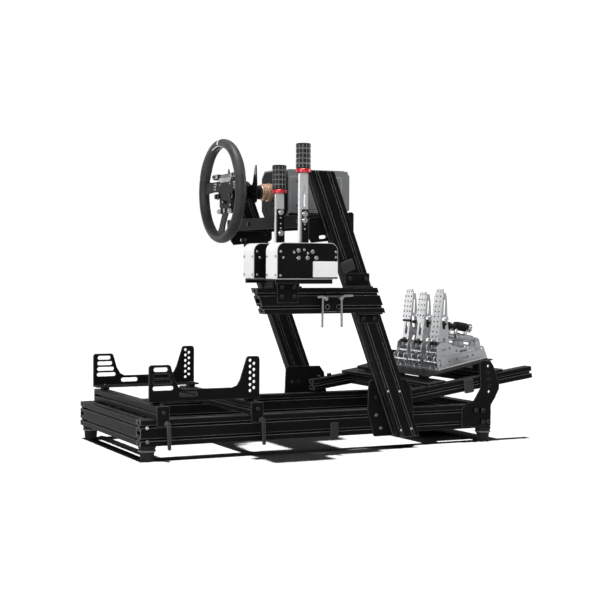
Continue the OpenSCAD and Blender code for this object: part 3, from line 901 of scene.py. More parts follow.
@dataclass
class Pedal:
    """One pedal: its base, arm, face and damper."""

    name: str
    y: float
    bottom: float
    tall: float
    wide: float
    columns: int = 3
    stop: bool = False
    pivot: tuple[float, float] = (1125.5, 264.5)
    eye: tuple[float, float] = (1272.0, 290.0)
    base: tuple[float, float] = (1039.0, 176.0)
    lean: float = 7.0
    base_tilt: float = 11.2
    cheek: float = 42.0

    @property
    def rows(self) -> np.ndarray:
        """Local directions of the arm: along X, across, and up its face."""
        return tilted(-self.lean)

    def local(self, p: Any) -> np.ndarray:
        """Points of the arm's frame in the measuring frame."""
        return turned(p, (self.pivot[0], self.y, self.pivot[1]), self.rows)

    def on_base(self, p: Any) -> np.ndarray:
        """Points of the base's frame in the measuring frame."""
        return turned(p, (self.base[0], self.y, self.base[1]), tilted(self.base_tilt))

    def damper(self) -> None:
        """Damper: turned barrel with an adjuster, a clevis eye, and a coil spring on a core beside it.

        The coil is a round wire carried along r(cos t, sin t) + h t; barrel and core are turned profiles.
        """
        eye = np.array([self.eye[0], self.y, self.eye[1]])
        rows = basis((-132, 0, 22), UP)
        axis = eye + 37 * rows[0]
        skin = Skin()
        barrel = [(0, 6), (9, 6), (11.5, 8), (13, 10), (13, 15), (12, 15.6), (12, 18), (13, 18.6), (13, 58)]
        barrel += [(12.2, 58.6), (12.2, 62), (13.4, 63), (15, 65), (15, 78), (14, 80), (7.4, 80), (7, 79.4)]
        skin.lathe(barrel + [(7, 18.5), (0, 18.5)], eye, rows[2], 32)
        skin.lathe(both_ends([(0, -11), (8.3, -11), (9, -10.3)]), eye, ACROSS, 28, 2)
        core = [(0, 27), (7, 27), (8.6, 28), (9.4, 30), (9.4, 33), (13.5, 33.8), (13.5, 36), (9.6, 36.6)]
        skin.lathe(core, axis, rows[2], 28, 2)
        skin.lathe([(0, 22), (14, 22), (15.4, 23), (15.4, 27), (14, 28), (0, 28)], axis, rows[2], 28, 2)
        top = [(9.6, 36.6), (9.6, 84), (14, 84.6), (14, 87.5), (9, 88.2), (7.5, 92), (0, 92)]
        skin.lathe(top, axis, rows[2], 28, 1)
        t = np.linspace(0, 2 * np.pi * 5.5, 150)
        coil = np.stack([13 * np.cos(t), 13 * np.sin(t), 39.2 + t * (42.5 / t[-1])], -1)
        skin.carried(circle_of(2.7, 8), turned(coil, axis, rows), rows[2], 1)
        lug = rounded_box(22, 9, 2, (19, 0), 3)
        for z in (39, 79):
            skin.slab(lug, 12, eye + z * rows[2] + 6 * rows[1], side_on(rows), 0.8, 2)
        finishes = [Metal.DAMPER, Soft.SPRING, Metal.PLATED]
        damper = f"{self.name}_damper"
        skin.build(f"{damper}_unit", f"{damper}_body", finishes, "damper", damper)

    def narrowed(self, loops: list[tuple[np.ndarray, float]]) -> np.ndarray:
        """Narrows loops of the face towards its ends and turns them into place.

        The width is scaled by 1 - 0.42 a^2 - 0.16 b^2, where a and b run from 0 to 1 over the end zones.

        Args:
            loops: Points (k, 2) across and up, each loop with its depth.

        Returns:
            Points (k, loops, 3) in the measuring frame.
        """
        top_zone, bottom_zone = 34, 12
        q = np.stack([np.column_stack([np.full(len(loop), x), loop]) for loop, x in loops], 1)
        high = np.clip((q[..., 2] - (self.bottom + self.tall - top_zone)) / top_zone, 0, 1) ** 2
        low = np.clip((self.bottom + bottom_zone - q[..., 2]) / bottom_zone, 0, 1) ** 2
        q[..., 1] *= 1 - 0.42 * high - 0.16 * low
        return self.local(q)

    def face(self) -> None:
        """Perforated face plate: oblong cells with a hole each, tiled, then narrowed towards both ends.

        A cell is four rings carried round its hole: its own edge, the hole's edge in front and behind, and
        its own edge again. The hole's points take the directions of the cell's edge points, so that the
        faces don't twist.
        """
        front, back, steps, hole_size = -20.0, -15.0, 6, (4.2, 3.1)
        columns, rows = self.columns, round(self.tall / 18)
        across = np.linspace(-self.wide / 2, self.wide / 2, columns * steps + 1)
        up = np.linspace(self.bottom, self.bottom + self.tall, rows * steps + 1)

        def edge(i0: int, i1: int, j0: int, j1: int) -> np.ndarray:
            """Points once round a rectangle of the lattice.

            Args:
                i0: First column line.
                i1: Last column line.
                j0: First row line.
                j1: Last row line.

            Returns:
                Points (k, 2), anticlockwise.
            """
            y, z = across[i0 : i1 + 1], up[j0 : j1 + 1]
            sides = [(y[:-1], 0 * y[:-1] + z[0]), (0 * z[:-1] + y[-1], z[:-1])]
            sides += [(y[:0:-1], 0 * y[1:] + z[-1]), (0 * z[1:] + y[0], z[:0:-1])]
            return np.concatenate([np.stack(side, -1) for side in sides])

        skin = Skin()
        squeeze = 0.84 if columns == 2 else 1
        for i in range(0, columns * steps, steps):
            for j in range(0, rows * steps, steps):
                cell = edge(i, i + steps, j, j + steps)
                centre = cell.mean(0) * (squeeze, 1)
                t = np.arctan2(*(cell - centre).T[::-1])
                hole = centre + np.stack([np.cos(t), np.sin(t)], -1) * hole_size
                rings = [(cell, front), (hole, front), (hole, back), (cell, back)]
                skin.grid(self.narrowed(rings), close_u=True)
        rim = edge(0, columns * steps, 0, rows * steps)
        skin.grid(self.narrowed([(rim, back), (rim, front)]), close_u=True)
        skin.build(f"{self.name}_face", self.name, [Metal.PEDAL], "pedal_metal", f"{self.name}_pad")

    def fittings(self) -> None:
        """Cross bar, stop knobs, side bolts and a black sheet behind the holes as painted shade; they turn
        with the arm.
        """
        skin = Skin()
        bar = both_ends([(0, -27), (5, -27), (6, -26), (6, -19), (4.6, -18.4)])
        skin.lathe(bar, self.local((2, 0, 84)), ACROSS, 20, 1)
        knob = [(0, -4), (5.5, -4), (6.5, -3), (6.5, 5), (5, 6), (0, 6)]
        washer = [(0, 0), (8.4, 0), (9, 0.6), (9, 2), (8.2, 2.8), (0, 2.8)]
        head = [(0, 2.8), (4.5, 2.8), (5, 3.4), (5, 5.6), (4, 6.4), (0, 6.4)]
        for side in SIDES:
            skin.lathe(knob, self.local((-19, side * 11, 14)), -self.rows[0], 18, 1)
            seat = self.local((6, side * 21, 104))
            skin.lathe(washer, seat, (0, side, 0), 22)
            skin.lathe(head, seat, (0, side, 0), 16)
        facing = self.rows[[1, 2, 0]]
        middle = (0, self.bottom + self.tall / 2 - 2)
        # Painted shade: a black plastic sheet right behind the face, so that its holes show dark
        shade_sheet = rounded_box(self.wide * 0.62, self.tall - 16, 5, middle)
        skin.slab(shade_sheet, 1.4, self.local((-14.8, 0, 0)), facing, 0.3, 1)
        if self.stop:
            stop = rounded_box(self.wide * 0.9, 8, 2, (0, self.bottom - 6))
            skin.slab(stop, 7, self.local((-19.5, 0, 0)), facing, 1, 1)
        skin.build(f"{self.name}_fittings", self.name, [Metal.PLATED, Soft.PLASTIC], "pedal_metal")

    def clamps(self) -> None:
        """What stands on the base: clamp bolts, cross tubes, fins, sensor box, and the cheeks' hems as
        painted highlight.
        """
        skin = Skin()
        rows = tilted(self.base_tilt)
        bolt = [(0, 0), (9, 0), (9, 1.5), (6.6, 2), (6.6, 8), (5.8, 8.8), (3, 8.8), (3, 5), (0, 5)]
        for x in (72, 252):
            for dy in (-24, 24):
                skin.lathe(bolt, self.on_base((x, dy, 5)), rows[2], 20)
        tubes = ((70, 26, 5.5, 40.8), (84, 56, 6, 32.8), (168, 36, 4.5, 32.8), (206, 44, 5, 32.8))
        for x, z, r, half in tubes:
            tube = both_ends([(0, -half), (r + 2.5, -half), (r + 2.5, 5 - half), (r, 5.6 - half)])
            skin.lathe(tube, self.on_base((x, 0, z)), ACROSS, 18)
        fin = np.array([[0, 0], [22, 0], [22, 26], [18, 38], [12, 44], [4, 42], [0, 34]], float) + (64, 4.8)
        for y in (-19, 23):
            skin.slab(fin, 4, self.on_base((0, y, 0)), side_on(rows), 0.8)
        skin.slab(rounded_box(40, 22, 3, (160, 17)), 34, self.on_base((0, 17, 0)), side_on(rows), 1.5, 1)
        # The hems are the cheeks' rolled bottom bends; their brighter lever finish is a painted highlight
        # along the bend
        for side in SIDES:
            highlight_hem = self.on_base([(x, side * 43, 3.2) for x in (63, 264)])
            skin.carried(circle_of(3.4, 14), highlight_hem, rows[1], 2)
        skin.build(f"{self.name}_clamps", "frame", [Metal.PLATED, Soft.PLASTIC, Metal.LEVER], "pedal_steel")

    def build(self) -> None:
        """Finishes, pins and the finer pieces."""
        Metal.BASE.dress(f"{self.name}_base")
        Metal.PEDAL.dress(f"{self.name}_arm")
        Metal.PLATED.dress(f"{self.name}_rod")
        pins = Bolts(tall=4)
        pins.both_sides([self.pivot], self.cheek, self.y)
        pins.both_sides([self.eye], 18.5, self.y)
        pins.build(f"{self.name}_pins", "frame", Metal.SCREW)
        self.damper()
        self.face()
        self.fittings()
        self.clamps()


@dataclass
class SideArm:
    """Side arm fittings: clamp block, its levers, shelf and shelf bracket."""

    block_face: float = -402.9

    def build(self) -> None:
        """Finishes, screws, and the bright rims on the clamp block's face."""
        Coat.PLATE.dress("arm_clamp_block", "lever_shelf", "shelf_bracket")
        Metal.SCREW.dress("arm_lever_rear", "arm_lever_front")
        screws = Bolts(head=14)
        screws.add([(678, -360, 505), (736, -360, 505), (728, -360, 379), (768, -360, 379)], TO_NEAR)
        screws.add([(x, -400, z) for z in (452, 480) for x in (422, 464)], TO_NEAR)
        screws.build("arm_screws", "frame", Metal.BLACK_SCREW)
        skin = Skin()
        loops = [rounded_box(w, h, 5, (592, 426.5), 8) for w, h in ((67, 48), (63, 44))]
        skin.holed(loops, 1.2, (0, self.block_face, 0), FACING_Y, 0.2)
        ring = [(6.2, 0), (8.2, 0), (8.2, 1.2), (6.2, 1.2), (6.2, 0)]
        for x in (578, 617):
            skin.lathe(ring, (x, self.block_face, 418), TO_NEAR)
        skin.build("arm_clamp_rims", "frame", [Metal.DARK_STEEL], "lever")


@dataclass
class HandUnit:
    """A hand-lever unit: wrapped white shell, black side plates, lever with its plate, and grip."""

    name: str
    y: float
    top: float
    slotted: bool
    plate_top: float
    plate_wide: float
    bolts: tuple[float, float]
    x0: float = 368.0
    z0: float = 505.0
    length: float = 205.0
    height: float = 110.0
    width: float = 78.0
    radius: float = 25.0
    sheet: float = 4.0
    side_sheet: float = 3.5
    side_face: float = 41.3
    lever_x: float = 473.0
    bar: tuple[float, float] = (30.0, 10.0)
    slot: tuple[float, float] = (52.0, 15.0)

    def outline(self, by: float, steps: int = 10) -> np.ndarray:
        """Side outline in X and Z: square feet, rounded shoulders.

        Args:
            by: How far it is moved inwards.
            steps: Points of each shoulder.

        Returns:
            Points (k, 2), anticlockwise.
        """
        x0, x1 = self.x0 + by, self.x0 + self.length - by
        z0, z1, r = self.z0 + by, self.z0 + self.height - by, self.radius - by
        t = np.linspace(0, np.pi / 2, steps)
        right = np.stack([x1 - r + r * np.cos(t), z1 - r + r * np.sin(t)], -1)
        left = np.stack([x0 + r - r * np.sin(t), z1 - r + r * np.cos(t)], -1)
        return np.concatenate([[[x0, z0], [x1, z0]], right, left])

    def shell(self) -> None:
        """White sheet wrapped over the unit, its outline carried across the width, slotted for the lever."""
        skin = Skin()
        half, (reach, gap) = self.width / 2, self.slot
        outer, inner = self.outline(0.0), self.outline(self.sheet)
        for y0, y1 in ((-half, -gap), (gap, half)):
            rings = [(outer, -y0), (outer, -y1), (inner, -y1), (inner, -y0)]
            skin.grid(turned(stacked(rings), (0, self.y, 0), FACING_Y), close_u=True, close_v=True)
        self.bridge(skin, self.lever_x - reach, self.x0)
        self.bridge(skin, self.lever_x + reach, self.x0 + self.length)
        for y in (self.side_sheet - self.side_face, self.side_face):
            origin = (0, self.y + y, 0)
            skin.slab(self.outline(1.6), self.side_sheet, origin, FACING_Y, 0.5, 1)
        finishes = [Coat.WHITE, Coat.UNIT_SIDE]
        skin.build(f"{self.name}_case", "frame", finishes, "unit_white", f"{self.name}_housing")

    def bridge(self, skin: Skin, x_in: float, x_out: float) -> None:
        """Part of the shell beside the slot: the outline's end piece, thickened, between the two walls.

        Args:
            skin: Where the surface goes.
            x_in: Where it starts, at the slot.
            x_out: Where it ends, at the unit's end.
        """
        o, gap = self.outline(0.0, 16), self.slot[1]
        lo, hi = min(x_in, x_out), max(x_in, x_out)
        part = o[(o[:, 0] >= lo - SEAM) & (o[:, 0] <= hi + SEAM) & (o[:, 1] > self.z0 + 1)]
        top, foot = [[x_in, self.z0 + self.height]], [[x_out, self.z0]]
        line = np.concatenate([foot, part, top] if x_out > x_in else [top, part, foot])
        d = np.gradient(line, axis=0)
        d /= np.linalg.norm(d, axis=1, keepdims=True)
        inner = line + self.sheet * np.stack([-d[:, 1], d[:, 0]], -1)
        rings = [(line, gap), (line, -gap), (inner, -gap), (inner, gap)]
        skin.ends(skin.grid(turned(stacked(rings), (0, self.y, 0), FACING_Y), close_u=True).T)

    def screws(self) -> None:
        """Screws and bushes of the side plates, and of the shell's ends."""
        big, small = Bolts(tall=4), Bolts(head=8, tall=2.5, socket=4)
        big.both_sides([(438, 591), (438, 569), (468, 569), (498, 569), (485, 588)], self.side_face, self.y)
        spots = [(379, 588), (379, 516), (565, 588), (565, 572)]
        spots += [(424, 585), (470, 583), (458, 593), (388, 570)]
        small.both_sides(spots, self.side_face, self.y)
        ends = [(self.y + dy, z) for z in (517, 573) for dy in (-31, 31)]
        small.add([(self.x0, y, z) for y, z in ends], TO_DRIVER)
        small.add([(self.x0 + self.length, y, z) for y, z in ends], ALONG)
        big.build(f"{self.name}_side_screws", "frame", Metal.SCREW)
        small.build(f"{self.name}_small_screws", "frame", Metal.SCREW)

    def slotted_loops(self, bar: np.ndarray) -> list[np.ndarray]:
        """The bar's outline and the slot near its top, with equal counts.

        Both start level with the slot's middle, on its left, so that the faces between them don't twist.

        Args:
            bar: Outline of the bar.

        Returns:
            Outline and slot.
        """
        hole = slot_outline((self.lever_x, self.top - 104), (self.lever_x, self.top - 66), 6, 16)
        loops = [resampled(q, 96) for q in (bar, hole)]
        x, z = hole.mean(0)
        starts = [np.argmin(abs(q[:, 1] - z) + 1e6 * (q[:, 0] > x)) for q in loops]
        return [np.roll(q, -k, 0) for q, k in zip(loops, starts)]

    def lever(self) -> None:
        """Bar, the black plate clamped on its near face, and the bolts through both."""
        skin = Skin()
        (bar_wide, bar_thick), low, bolt_x = self.bar, self.z0 + 29, self.lever_x + 2.2
        bar = rounded_box(bar_wide, self.top - low, 6, (self.lever_x, (self.top + low) / 2), 8)
        back = (0, self.y + bar_thick / 2, 0)
        if self.slotted:
            skin.holed(self.slotted_loops(bar), bar_thick, back, FACING_Y, 0.9)
        else:
            skin.slab(bar, bar_thick, back, FACING_Y, 0.9)
        tall, wide = self.plate_top - self.z0 - 55, self.plate_wide
        plate = rounded_box(wide, tall, 5, (self.lever_x + 15.6 - wide / 2, self.plate_top - tall / 2))
        skin.slab(plate, 4.4, (0, self.y - 4.8, 0), FACING_Y, 0.8, 1)
        skin.lathe(both_ends([(0, -14.5), (7, -14.5)]), (self.lever_x, self.y, self.z0 + 45), ACROSS)
        washer = [(0, 0), (8.6, 0), (9, 0.5), (9, 1.6), (8.4, 2.2), (0, 2.2)]
        for z in self.bolts:
            skin.lathe(washer, (bolt_x, self.y - 9.2, z), TO_NEAR, 24, 2)
        screws = Bolts(head=12, tall=4.5)
        screws.add([(bolt_x, self.y - 11.4, z) for z in self.bolts], TO_NEAR)
        screws.add([(bolt_x, self.y + 5, z) for z in self.bolts], ACROSS)
        small = Bolts(6, 1.4, 3, 12, screws.skin)
        small.add([(bolt_x, self.y - 9.2, self.plate_top - down) for down in (28, 46, 60)], TO_NEAR)
        finishes = [Metal.LEVER, Coat.UNIT_SIDE, Metal.PLATED]
        skin.build(f"{self.name}_bar", self.name, finishes, "lever", f"{self.name}_lever")
        screws.build(f"{self.name}_bar_bolts", self.name, Metal.SCREW)

    def grip(self) -> None:
        """Grip turned from a profile with four grooves; twelve flutes dip its radius round the bands."""
        skin = Skin()
        groove = ((-2, 22.5), (0, 20), (2, 22.5))
        profile = [(11, 20.5), (12, 22), (14, 22.5)]
        profile += [(middle + dz, r) for middle in (27, 42, 57, 72) for dz, r in groove]
        profile += [(84, 22.5), (87, 21.5), (88, 19.5), (88, 0)]
        z, r = np.array(profile, float).T
        t = angles(96)[:, None]
        flute = np.clip((np.cos(12 * t) - 0.72) / 0.28, 0, 1) ** 0.7
        radius = r - 2.0 * flute * ((r > 21) & (z > 13) & (z < 85))
        p = np.stack([radius * np.cos(t), radius * np.sin(t), z + 0 * radius], -1)
        low = 0.25 * (radius + np.roll(radius, -1, 0))
        dip = (low[:, :-1] + low[:, 1:] < 21.4) & (z[:-1] > 12) & (z[1:] < 86)
        valley = (flute + np.roll(flute, -1, 0) > 0.5) & (z[:-1] > 13) & (z[1:] < 85)
        seat = (self.lever_x, self.y, self.top)
        skin.grid(turned(p, seat, np.eye(3)), close_u=True, mark=np.where(dip | valley, 2, 0))
        ring = [(0, 0), (22.6, 0), (23.8, 0.8), (23.8, 9.6), (22.8, 10.6), (20.5, 11)]
        skin.lathe(ring, seat, UP, 64, 1)
        finishes = [Soft.GRIP, Coat.RED, Soft.GREY]
        skin.build(f"{self.name}_grip_cover", self.name, finishes, "grip", f"{self.name}_grip")

    def blank_plate(self) -> None:
        """Bare white plate at the lower front corner of the near side."""
        skin = Skin()
        plate = rounded_box(84, 48, 2, (self.x0 + self.length - 44, self.z0 + 30))
        skin.slab(plate, 1.6, (0, self.y - self.side_face + 0.1, 0), FACING_Y, 0.4)
        skin.build(f"{self.name}_blank_plate", "frame", [Coat.WHITE], "unit_white")

    def build(self) -> None:
        """Everything above."""
        self.shell()
        self.screws()
        self.lever()
        self.grip()
        self.blank_plate()


@dataclass
class Steering:
    """Wheel base on its tray, quick release, hub, rim and paddles."""

    z: float = 791.0
    x: float = 390.0
    rim_r: float = 157.0
    rim_half: tuple[float, float] = (14.9, 18.3)
    tray_side: float = 315.0

    def plate(self, skin: Skin, outline: Any, thick: float, x: float, edge: float, mark: int = 0) -> None:
        """Plate across the wheel's axis, its outline in Y and Z about the axis, growing along X from x."""
        skin.slab(outline, thick, (x, 0, self.z), FACING_X, edge, mark)

    def rim(self) -> None:
        """Rim: an oval section carried round a circle, swelling at the thumb rests beside the side spokes.

        Point = centre + (R + a cos b)(cos A, sin A) in Y and Z, and d sin b along X; seams dip the section at
        four angles, a white mark crosses the top and a gloss band lies on its inner front quarter. The side
        and lower arcs between the seams take a darker copy of the leather as painted shade.
        """
        n, k = 200, 32
        a, b = angles(n)[:, None], angles(k)
        degrees = np.degrees(a)
        size = 1 + 0.05 * bells(degrees, (30, 150), 12) - 0.045 * bells(degrees, (16, 164, 238, 302), 0.9)
        half_r, half_x = self.rim_half
        radial = self.rim_r + half_r * size * np.cos(b)
        depth = self.x + half_x * size * np.sin(b)
        p = np.stack([depth, radial * np.cos(a), self.z + radial * np.sin(a)], -1)
        middle_a, middle_b = degrees + 0.9, np.degrees(b)[None] + 5.6
        mark = np.zeros((n, k), int)
        for half_a, centre_b, half_b, finish in ((21, 205, 24, 3), (21, 230, 5, 1), (1.9, 315, 62, 1)):
            mark[(abs(middle_a - 90) < half_a) & (abs(middle_b - centre_b) < half_b)] = finish
        # Painted shade: the side and lower arcs between the seams take the darker copy of the leather
        lower = ((middle_a > 164) & (middle_a < 238)) | (middle_a > 302) | (middle_a < 16)
        mark[lower & (mark == 0)] = 2
        skin = Skin()
        skin.grid(p, close_u=True, close_v=True, mark=mark)
        finishes = [Soft.RIM, Coat.WHITE, Soft.RIM_SHADE, Coat.GLOSS]
        skin.build("rim_cover", "steering", finishes, "wheel_grip", "wheel_rim")

    def spoke(self, skin: Skin, start: Any, end: Any, widths: tuple, across: Any) -> None:
        """Dished spoke: a bar section carried from the hub out to the rim, moved by 6 (t^2 - t) along X.

        Args:
            skin: Where the surface goes.
            start: Middle of the inner end.
            end: Middle of the outer end.
            widths: Half widths at even steps.
            across: Direction of the width.
        """
        t = np.linspace(0, 1, 24)
        path = np.asarray(start) + np.outer(t, np.subtract(end, start))
        path[:, 0] += 6 * (t**2 - t)
        half = np.interp(t, np.linspace(0, 1, len(widths)), widths)
        section = rounded_box(2, 1, 0.3, per_corner=4) * (1, 6)
        w = half[:, None, None] * section[None, :, :1] * np.asarray(across, float)
        p = path[:, None] + w + section[None, :, 1:] * np.array(ALONG)
        skin.ends(skin.grid(p, close_v=True, mark=1), 1)

    def hub(self) -> None:
        """Hub: chamfered shield plates, three dished spokes, button pods and the turned boss behind."""
        skin, z = Skin(), self.z
        shield = [(0, -68), (46, -68), (54, -60), (56, -30), (62, -8), (90, 2), (94, 10), (94, 26), (86, 36)]
        front = [(0, -60), (38, -60), (48, -52), (50, -26), (58, -2), (82, 8), (84, 30), (76, 35), (44, 36)]
        cap = [(0, 38), (58, 38), (66, 44), (62, 56), (0, 58)]
        shrink = 0.94
        self.plate(skin, mirrored(shield + [(52, 40), (46, 50), (0, 50)]) * shrink, 20, 406, 2)
        self.plate(skin, mirrored(front + [(0, 36)]), 5, 401.5, 1.2)
        self.plate(skin, mirrored(cap), 16, 404, 2, 2)
        self.plate(skin, mirrored([(0, 30), (40, 30), (54, 45), (0, 45)]), 3.5, 399.6, 0.8, 3)
        for side in SIDES:
            self.spoke(skin, (408, side * 62, z + 18), (388, side * 148, z + 14), (18, 17, 19, 28), UP)
            self.plate(skin, rounded_box(44, 18, 5, (side * 78, 50)), 20, 398, 1.5)
            self.plate(skin, rounded_box(36, 15, 4, (side * 44, -66)), 18, 399, 1.5)
        self.spoke(skin, (408, 0, z - 58), (386, 0, z - 147), (26, 23, 22, 31), ACROSS)
        boss = [(0, 424), (44, 424), (46, 426), (46, 434), (40, 437), (35, 440), (35, 480), (33, 482.5)]
        skin.lathe(boss + [(0, 482.5)], (0, 0, z), ALONG, 48)
        finishes = [Soft.HUB, Soft.SPOKE, Soft.GREY, Soft.PALE]
        skin.build("hub_body", "steering", finishes, "wheel_plastic", "wheel_hub")

    def buttons(self) -> None:
        """Round buttons with bright rings, square keys, two dials, a joystick, and the hub's screws."""
        skin, z = Skin(), self.z
        ring = [(0, 0), (6.4, 0), (7, 0.6), (7, 2), (6.2, 2.6), (5, 2.6)]
        dome = [(5, 2.6), (5, 3.4), (4.2, 4.4), (2.2, 5), (0, 5.2)]
        half = ((92, 51), (77, 51), (62, 51), (53, -66), (37, -66))
        for y, h in [(side * y, h) for side in SIDES for y, h in half] + [(0, -64)]:
            at = (398.4 if h > 0 else 399.4, y, z + h)
            skin.lathe(ring, at, TO_DRIVER, 20, 1)
            skin.lathe(dome, at, TO_DRIVER, 20, 0 if abs(y) > 70 else 2)
        dial = [(0, 0), (10, 0), (10.6, 1), (10.6, 3), (8.6, 4), (8.6, 11), (7.4, 12.2), (0, 12.2)]
        collar = [(8.7, 4), (9.3, 4.4), (9.3, 5.4), (8.7, 5.8)]
        for side in SIDES:
            self.plate(skin, rounded_box(30, 24, 8, (side * 57, -14)), 9, 410, 1.5)
            skin.lathe(dial, (402, side * 60, z - 16), TO_DRIVER)
            skin.lathe(collar, (402, side * 60, z - 16), TO_DRIVER, mark=1)
            for row in range(3):
                for column in range(2):
                    key = rounded_box(8, 6, 1.5, (side * (82 + column * 12), 9 + row * 9), 3)
                    self.plate(skin, key, 4, 398.2 - column * 1.5, 0.6, 2)
        stick = [(0, 0), (11, 0), (11, 1.4), (9, 2), (6.4, 2), (5.6, 6), (6.6, 8), (5, 10), (0, 10.4)]
        skin.lathe(stick, (402, 0, z - 36), TO_DRIVER)
        skin.lathe([(0, 10.4), (2.4, 10.4), (2, 11.2), (0, 11.4)], (402, 0, z - 36), TO_DRIVER, 16, 1)
        skin.build("hub_buttons", "steering", [Soft.PLASTIC, Metal.PLATED, Soft.PALE], "wheel_plastic")
        screws = Bolts(8, 2, 4, 14)
        shield = ((74, 26), (44, -46), (42, 24))
        screws.add([(401.6, side * y, z + h) for side in SIDES for y, h in shield], TO_DRIVER)
        boss = [(40 * math.cos(t), 40 * math.sin(t)) for t in np.arange(6) * math.pi / 3 + 0.4]
        screws.add([(437, y, z + h) for y, h in boss], ALONG)
        screws.build("hub_screws", "steering", Metal.SCREW)

    def paddles(self) -> None:
        """Shift housings behind the spokes, which stay with the wheel, and the paddles' screws."""
        skin = Skin()
        for side in SIDES:
            self.plate(skin, rounded_box(40, 34, 4, (side * 62, 2)), 17, 430, 2)
            self.plate(skin, rounded_box(26, 12, 3, (side * 58, 2)), 3, 447, 0.6, 1)
            self.plate(skin, rounded_box(10, 26, 3, (side * 48, -32)), 14, 434, 1.2)
        skin.build("shift_housings", "steering", [Soft.PLASTIC, Metal.DARK_STEEL], "wheel_plastic")
        spots = ((52, 6), (52, -6), (98, -26), (112, 40))
        for side, body in ((NEAR, "paddle_r"), (FAR, "paddle_l")):
            screws = Bolts(8, 2.6, 4, 14)
            screws.add([(464, side * y, self.z + h) for y, h in spots], ALONG)
            screws.build(f"{body}_screws", body, Metal.PLATED)

    def release(self) -> None:
        """Quick release: dark adapter, then two copper rings, their knurls a ripple of radius with angle."""
        skin = Skin()
        adapter = [(0, 484.5), (24, 484.5), (26, 486), (26, 492), (22, 494), (22, 500), (25, 502), (25, 508)]
        adapter += [(21, 510), (21, 522), (24, 523), (24, 527), (20, 528)]
        skin.lathe(adapter, (0, 0, self.z), ALONG, 40, 1)
        rings = [(528, 20), (529, 23), (532, 23.5), (533, 24.5), (534, 27.6), (535, 28.6), (546, 28.6)]
        rings += [(547, 27.6), (548, 24.5), (551, 24.5), (552, 28), (553, 30.4), (566, 30.4), (568, 29)]
        h, r = np.array(rings + [(570, 26), (575, 26)], float).T
        t = angles(96)[:, None]
        fine = 1.6 * np.clip((np.cos(16 * t) - 0.3) / 0.7, 0, 1)
        coarse = 1.2 * np.clip(np.cos(8 * t), 0, 1) ** 6
        radius = r - fine * ((r > 27.9) & (h < 548)) - coarse * (r > 30)
        p = np.stack([h + 0 * radius, radius * np.cos(t), self.z + radius * np.sin(t)], -1)
        skin.grid(p, close_u=True)
        finishes = [Coat.COPPER, Coat.MOTOR_DARK]
        skin.build("quick_release_rings", "steering", finishes, "copper", "quick_release")

    def motor(self) -> None:
        """Motor case: front ring and side panels, pale painted highlights on their edges, skirt, vents, lip,
        plug.
        """
        skin = Skin()
        octagon = mirrored([(0, -84), (65, -84), (89, -60), (89, 50), (65, 75), (0, 75)])
        self.plate(skin, octagon, 7, 575, 3)
        self.plate(skin, octagon * 0.97, 8, 582, 0.4)
        skin.lathe([(30, 571), (44, 571), (46, 573), (46, 575.4), (0, 575.4)], (0, 0, self.z), ALONG, 48)
        panels = (
            (600, 786, 733, 840, 1.6, 90.6, 1),
            (591, 812, 707.5, 722, 1.2, 89.1, 0),
            (790, 820, 730, 846, 0.9, 89.1, 1),
        )
        # Pale rims just outside the side panels: painted highlight along the panels' edges
        loops = [rounded_box(w, h, 9, (693, 786.5), 8) for w, h in ((193, 114), (189.6, 110.6))]
        for side in SIDES:
            rows = FACING_Y * ((1,), (1,), (-side,))
            for x0, x1, z0, z1, thick, y, mark in panels:
                panel = rounded_box(x1 - x0, z1 - z0, 7, ((x0 + x1) / 2, (z0 + z1) / 2))
                skin.slab(panel, thick, (0, side * y, 0), rows, 0.6, mark)
            # The pale rim of painted highlight round this side's panel
            skin.holed(loops, 1.0, (0, side * 89.9, 0), rows, 0.2, 3)
        for i in range(7):
            self.plate(skin, rounded_box(5, 46, 2.2, (i * 16 - 48, 12), 4), 1.2, 819.4, 0.4)
        self.plate(skin, mirrored([(0, 62), (84, 62), (86, 66), (82, 74), (0, 74)]), 5, 812, 1.2, 1)
        self.plate(skin, rounded_box(54, 22, 3, (0, -53)), 3, 824.6, 0.8, 2)
        # Painted highlight: a pale strip along the front ring's top edges, where its top chamfer catches the
        # light
        top_highlight = mirrored([(0, 74.8), (63, 74.8), (87, 51.4), (85, 48), (61, 72), (0, 72)])
        self.plate(skin, top_highlight, 2.2, 573.6, 0.6, 3)
        finishes = [Coat.MOTOR_DARK, Coat.MOTOR, Soft.PLASTIC, Soft.PALE]
        skin.build("motor_panels", "frame", finishes, "motor_face")
        screws = Bolts(head=9, tall=2.2, socket=5)
        screws.both_sides([(x, h) for x in (624, 762) for h in (746, 826)], 92.2)
        screws.add([(575.4, y, self.z + h) for y in (-60, 60) for h in (-56, 48)], TO_DRIVER)
        screws.build("motor_screws", "frame", Metal.BLACK_SCREW)

    def tray_bolts(self) -> None:
        """Screws of the tray's side plates, lip and floor."""
        screws = Bolts()
        screws.both_sides([(625, 658), (665, 658), (690, 655), (690, 690)], self.tray_side)
        screws.add([(603, self.tray_side, 636)], ACROSS)
        screws.add([(540, y, 687) for y in (-270, -120, 120, 270)], TO_DRIVER)
        screws.add([(x, y, 707) for x in (600, 680) for y in (-120, 120)], UP)
        screws.build("tray_plate_screws", "frame", Metal.BLACK_SCREW)

    def build(self) -> None:
        """Finishes and every piece above."""
        Coat.PLATE.dress("wheel_tray", "wheel_side_plates")
        Coat.MOTOR.dress("wheel_base_body")
        Coat.MOTOR_DARK.dress("wheel_base_front")
        Coat.GLOSS.dress("paddle_right", "paddle_left")
        self.rim()
        self.hub()
        self.buttons()
        self.paddles()
        self.release()
        self.motor()
        self.tray_bolts()


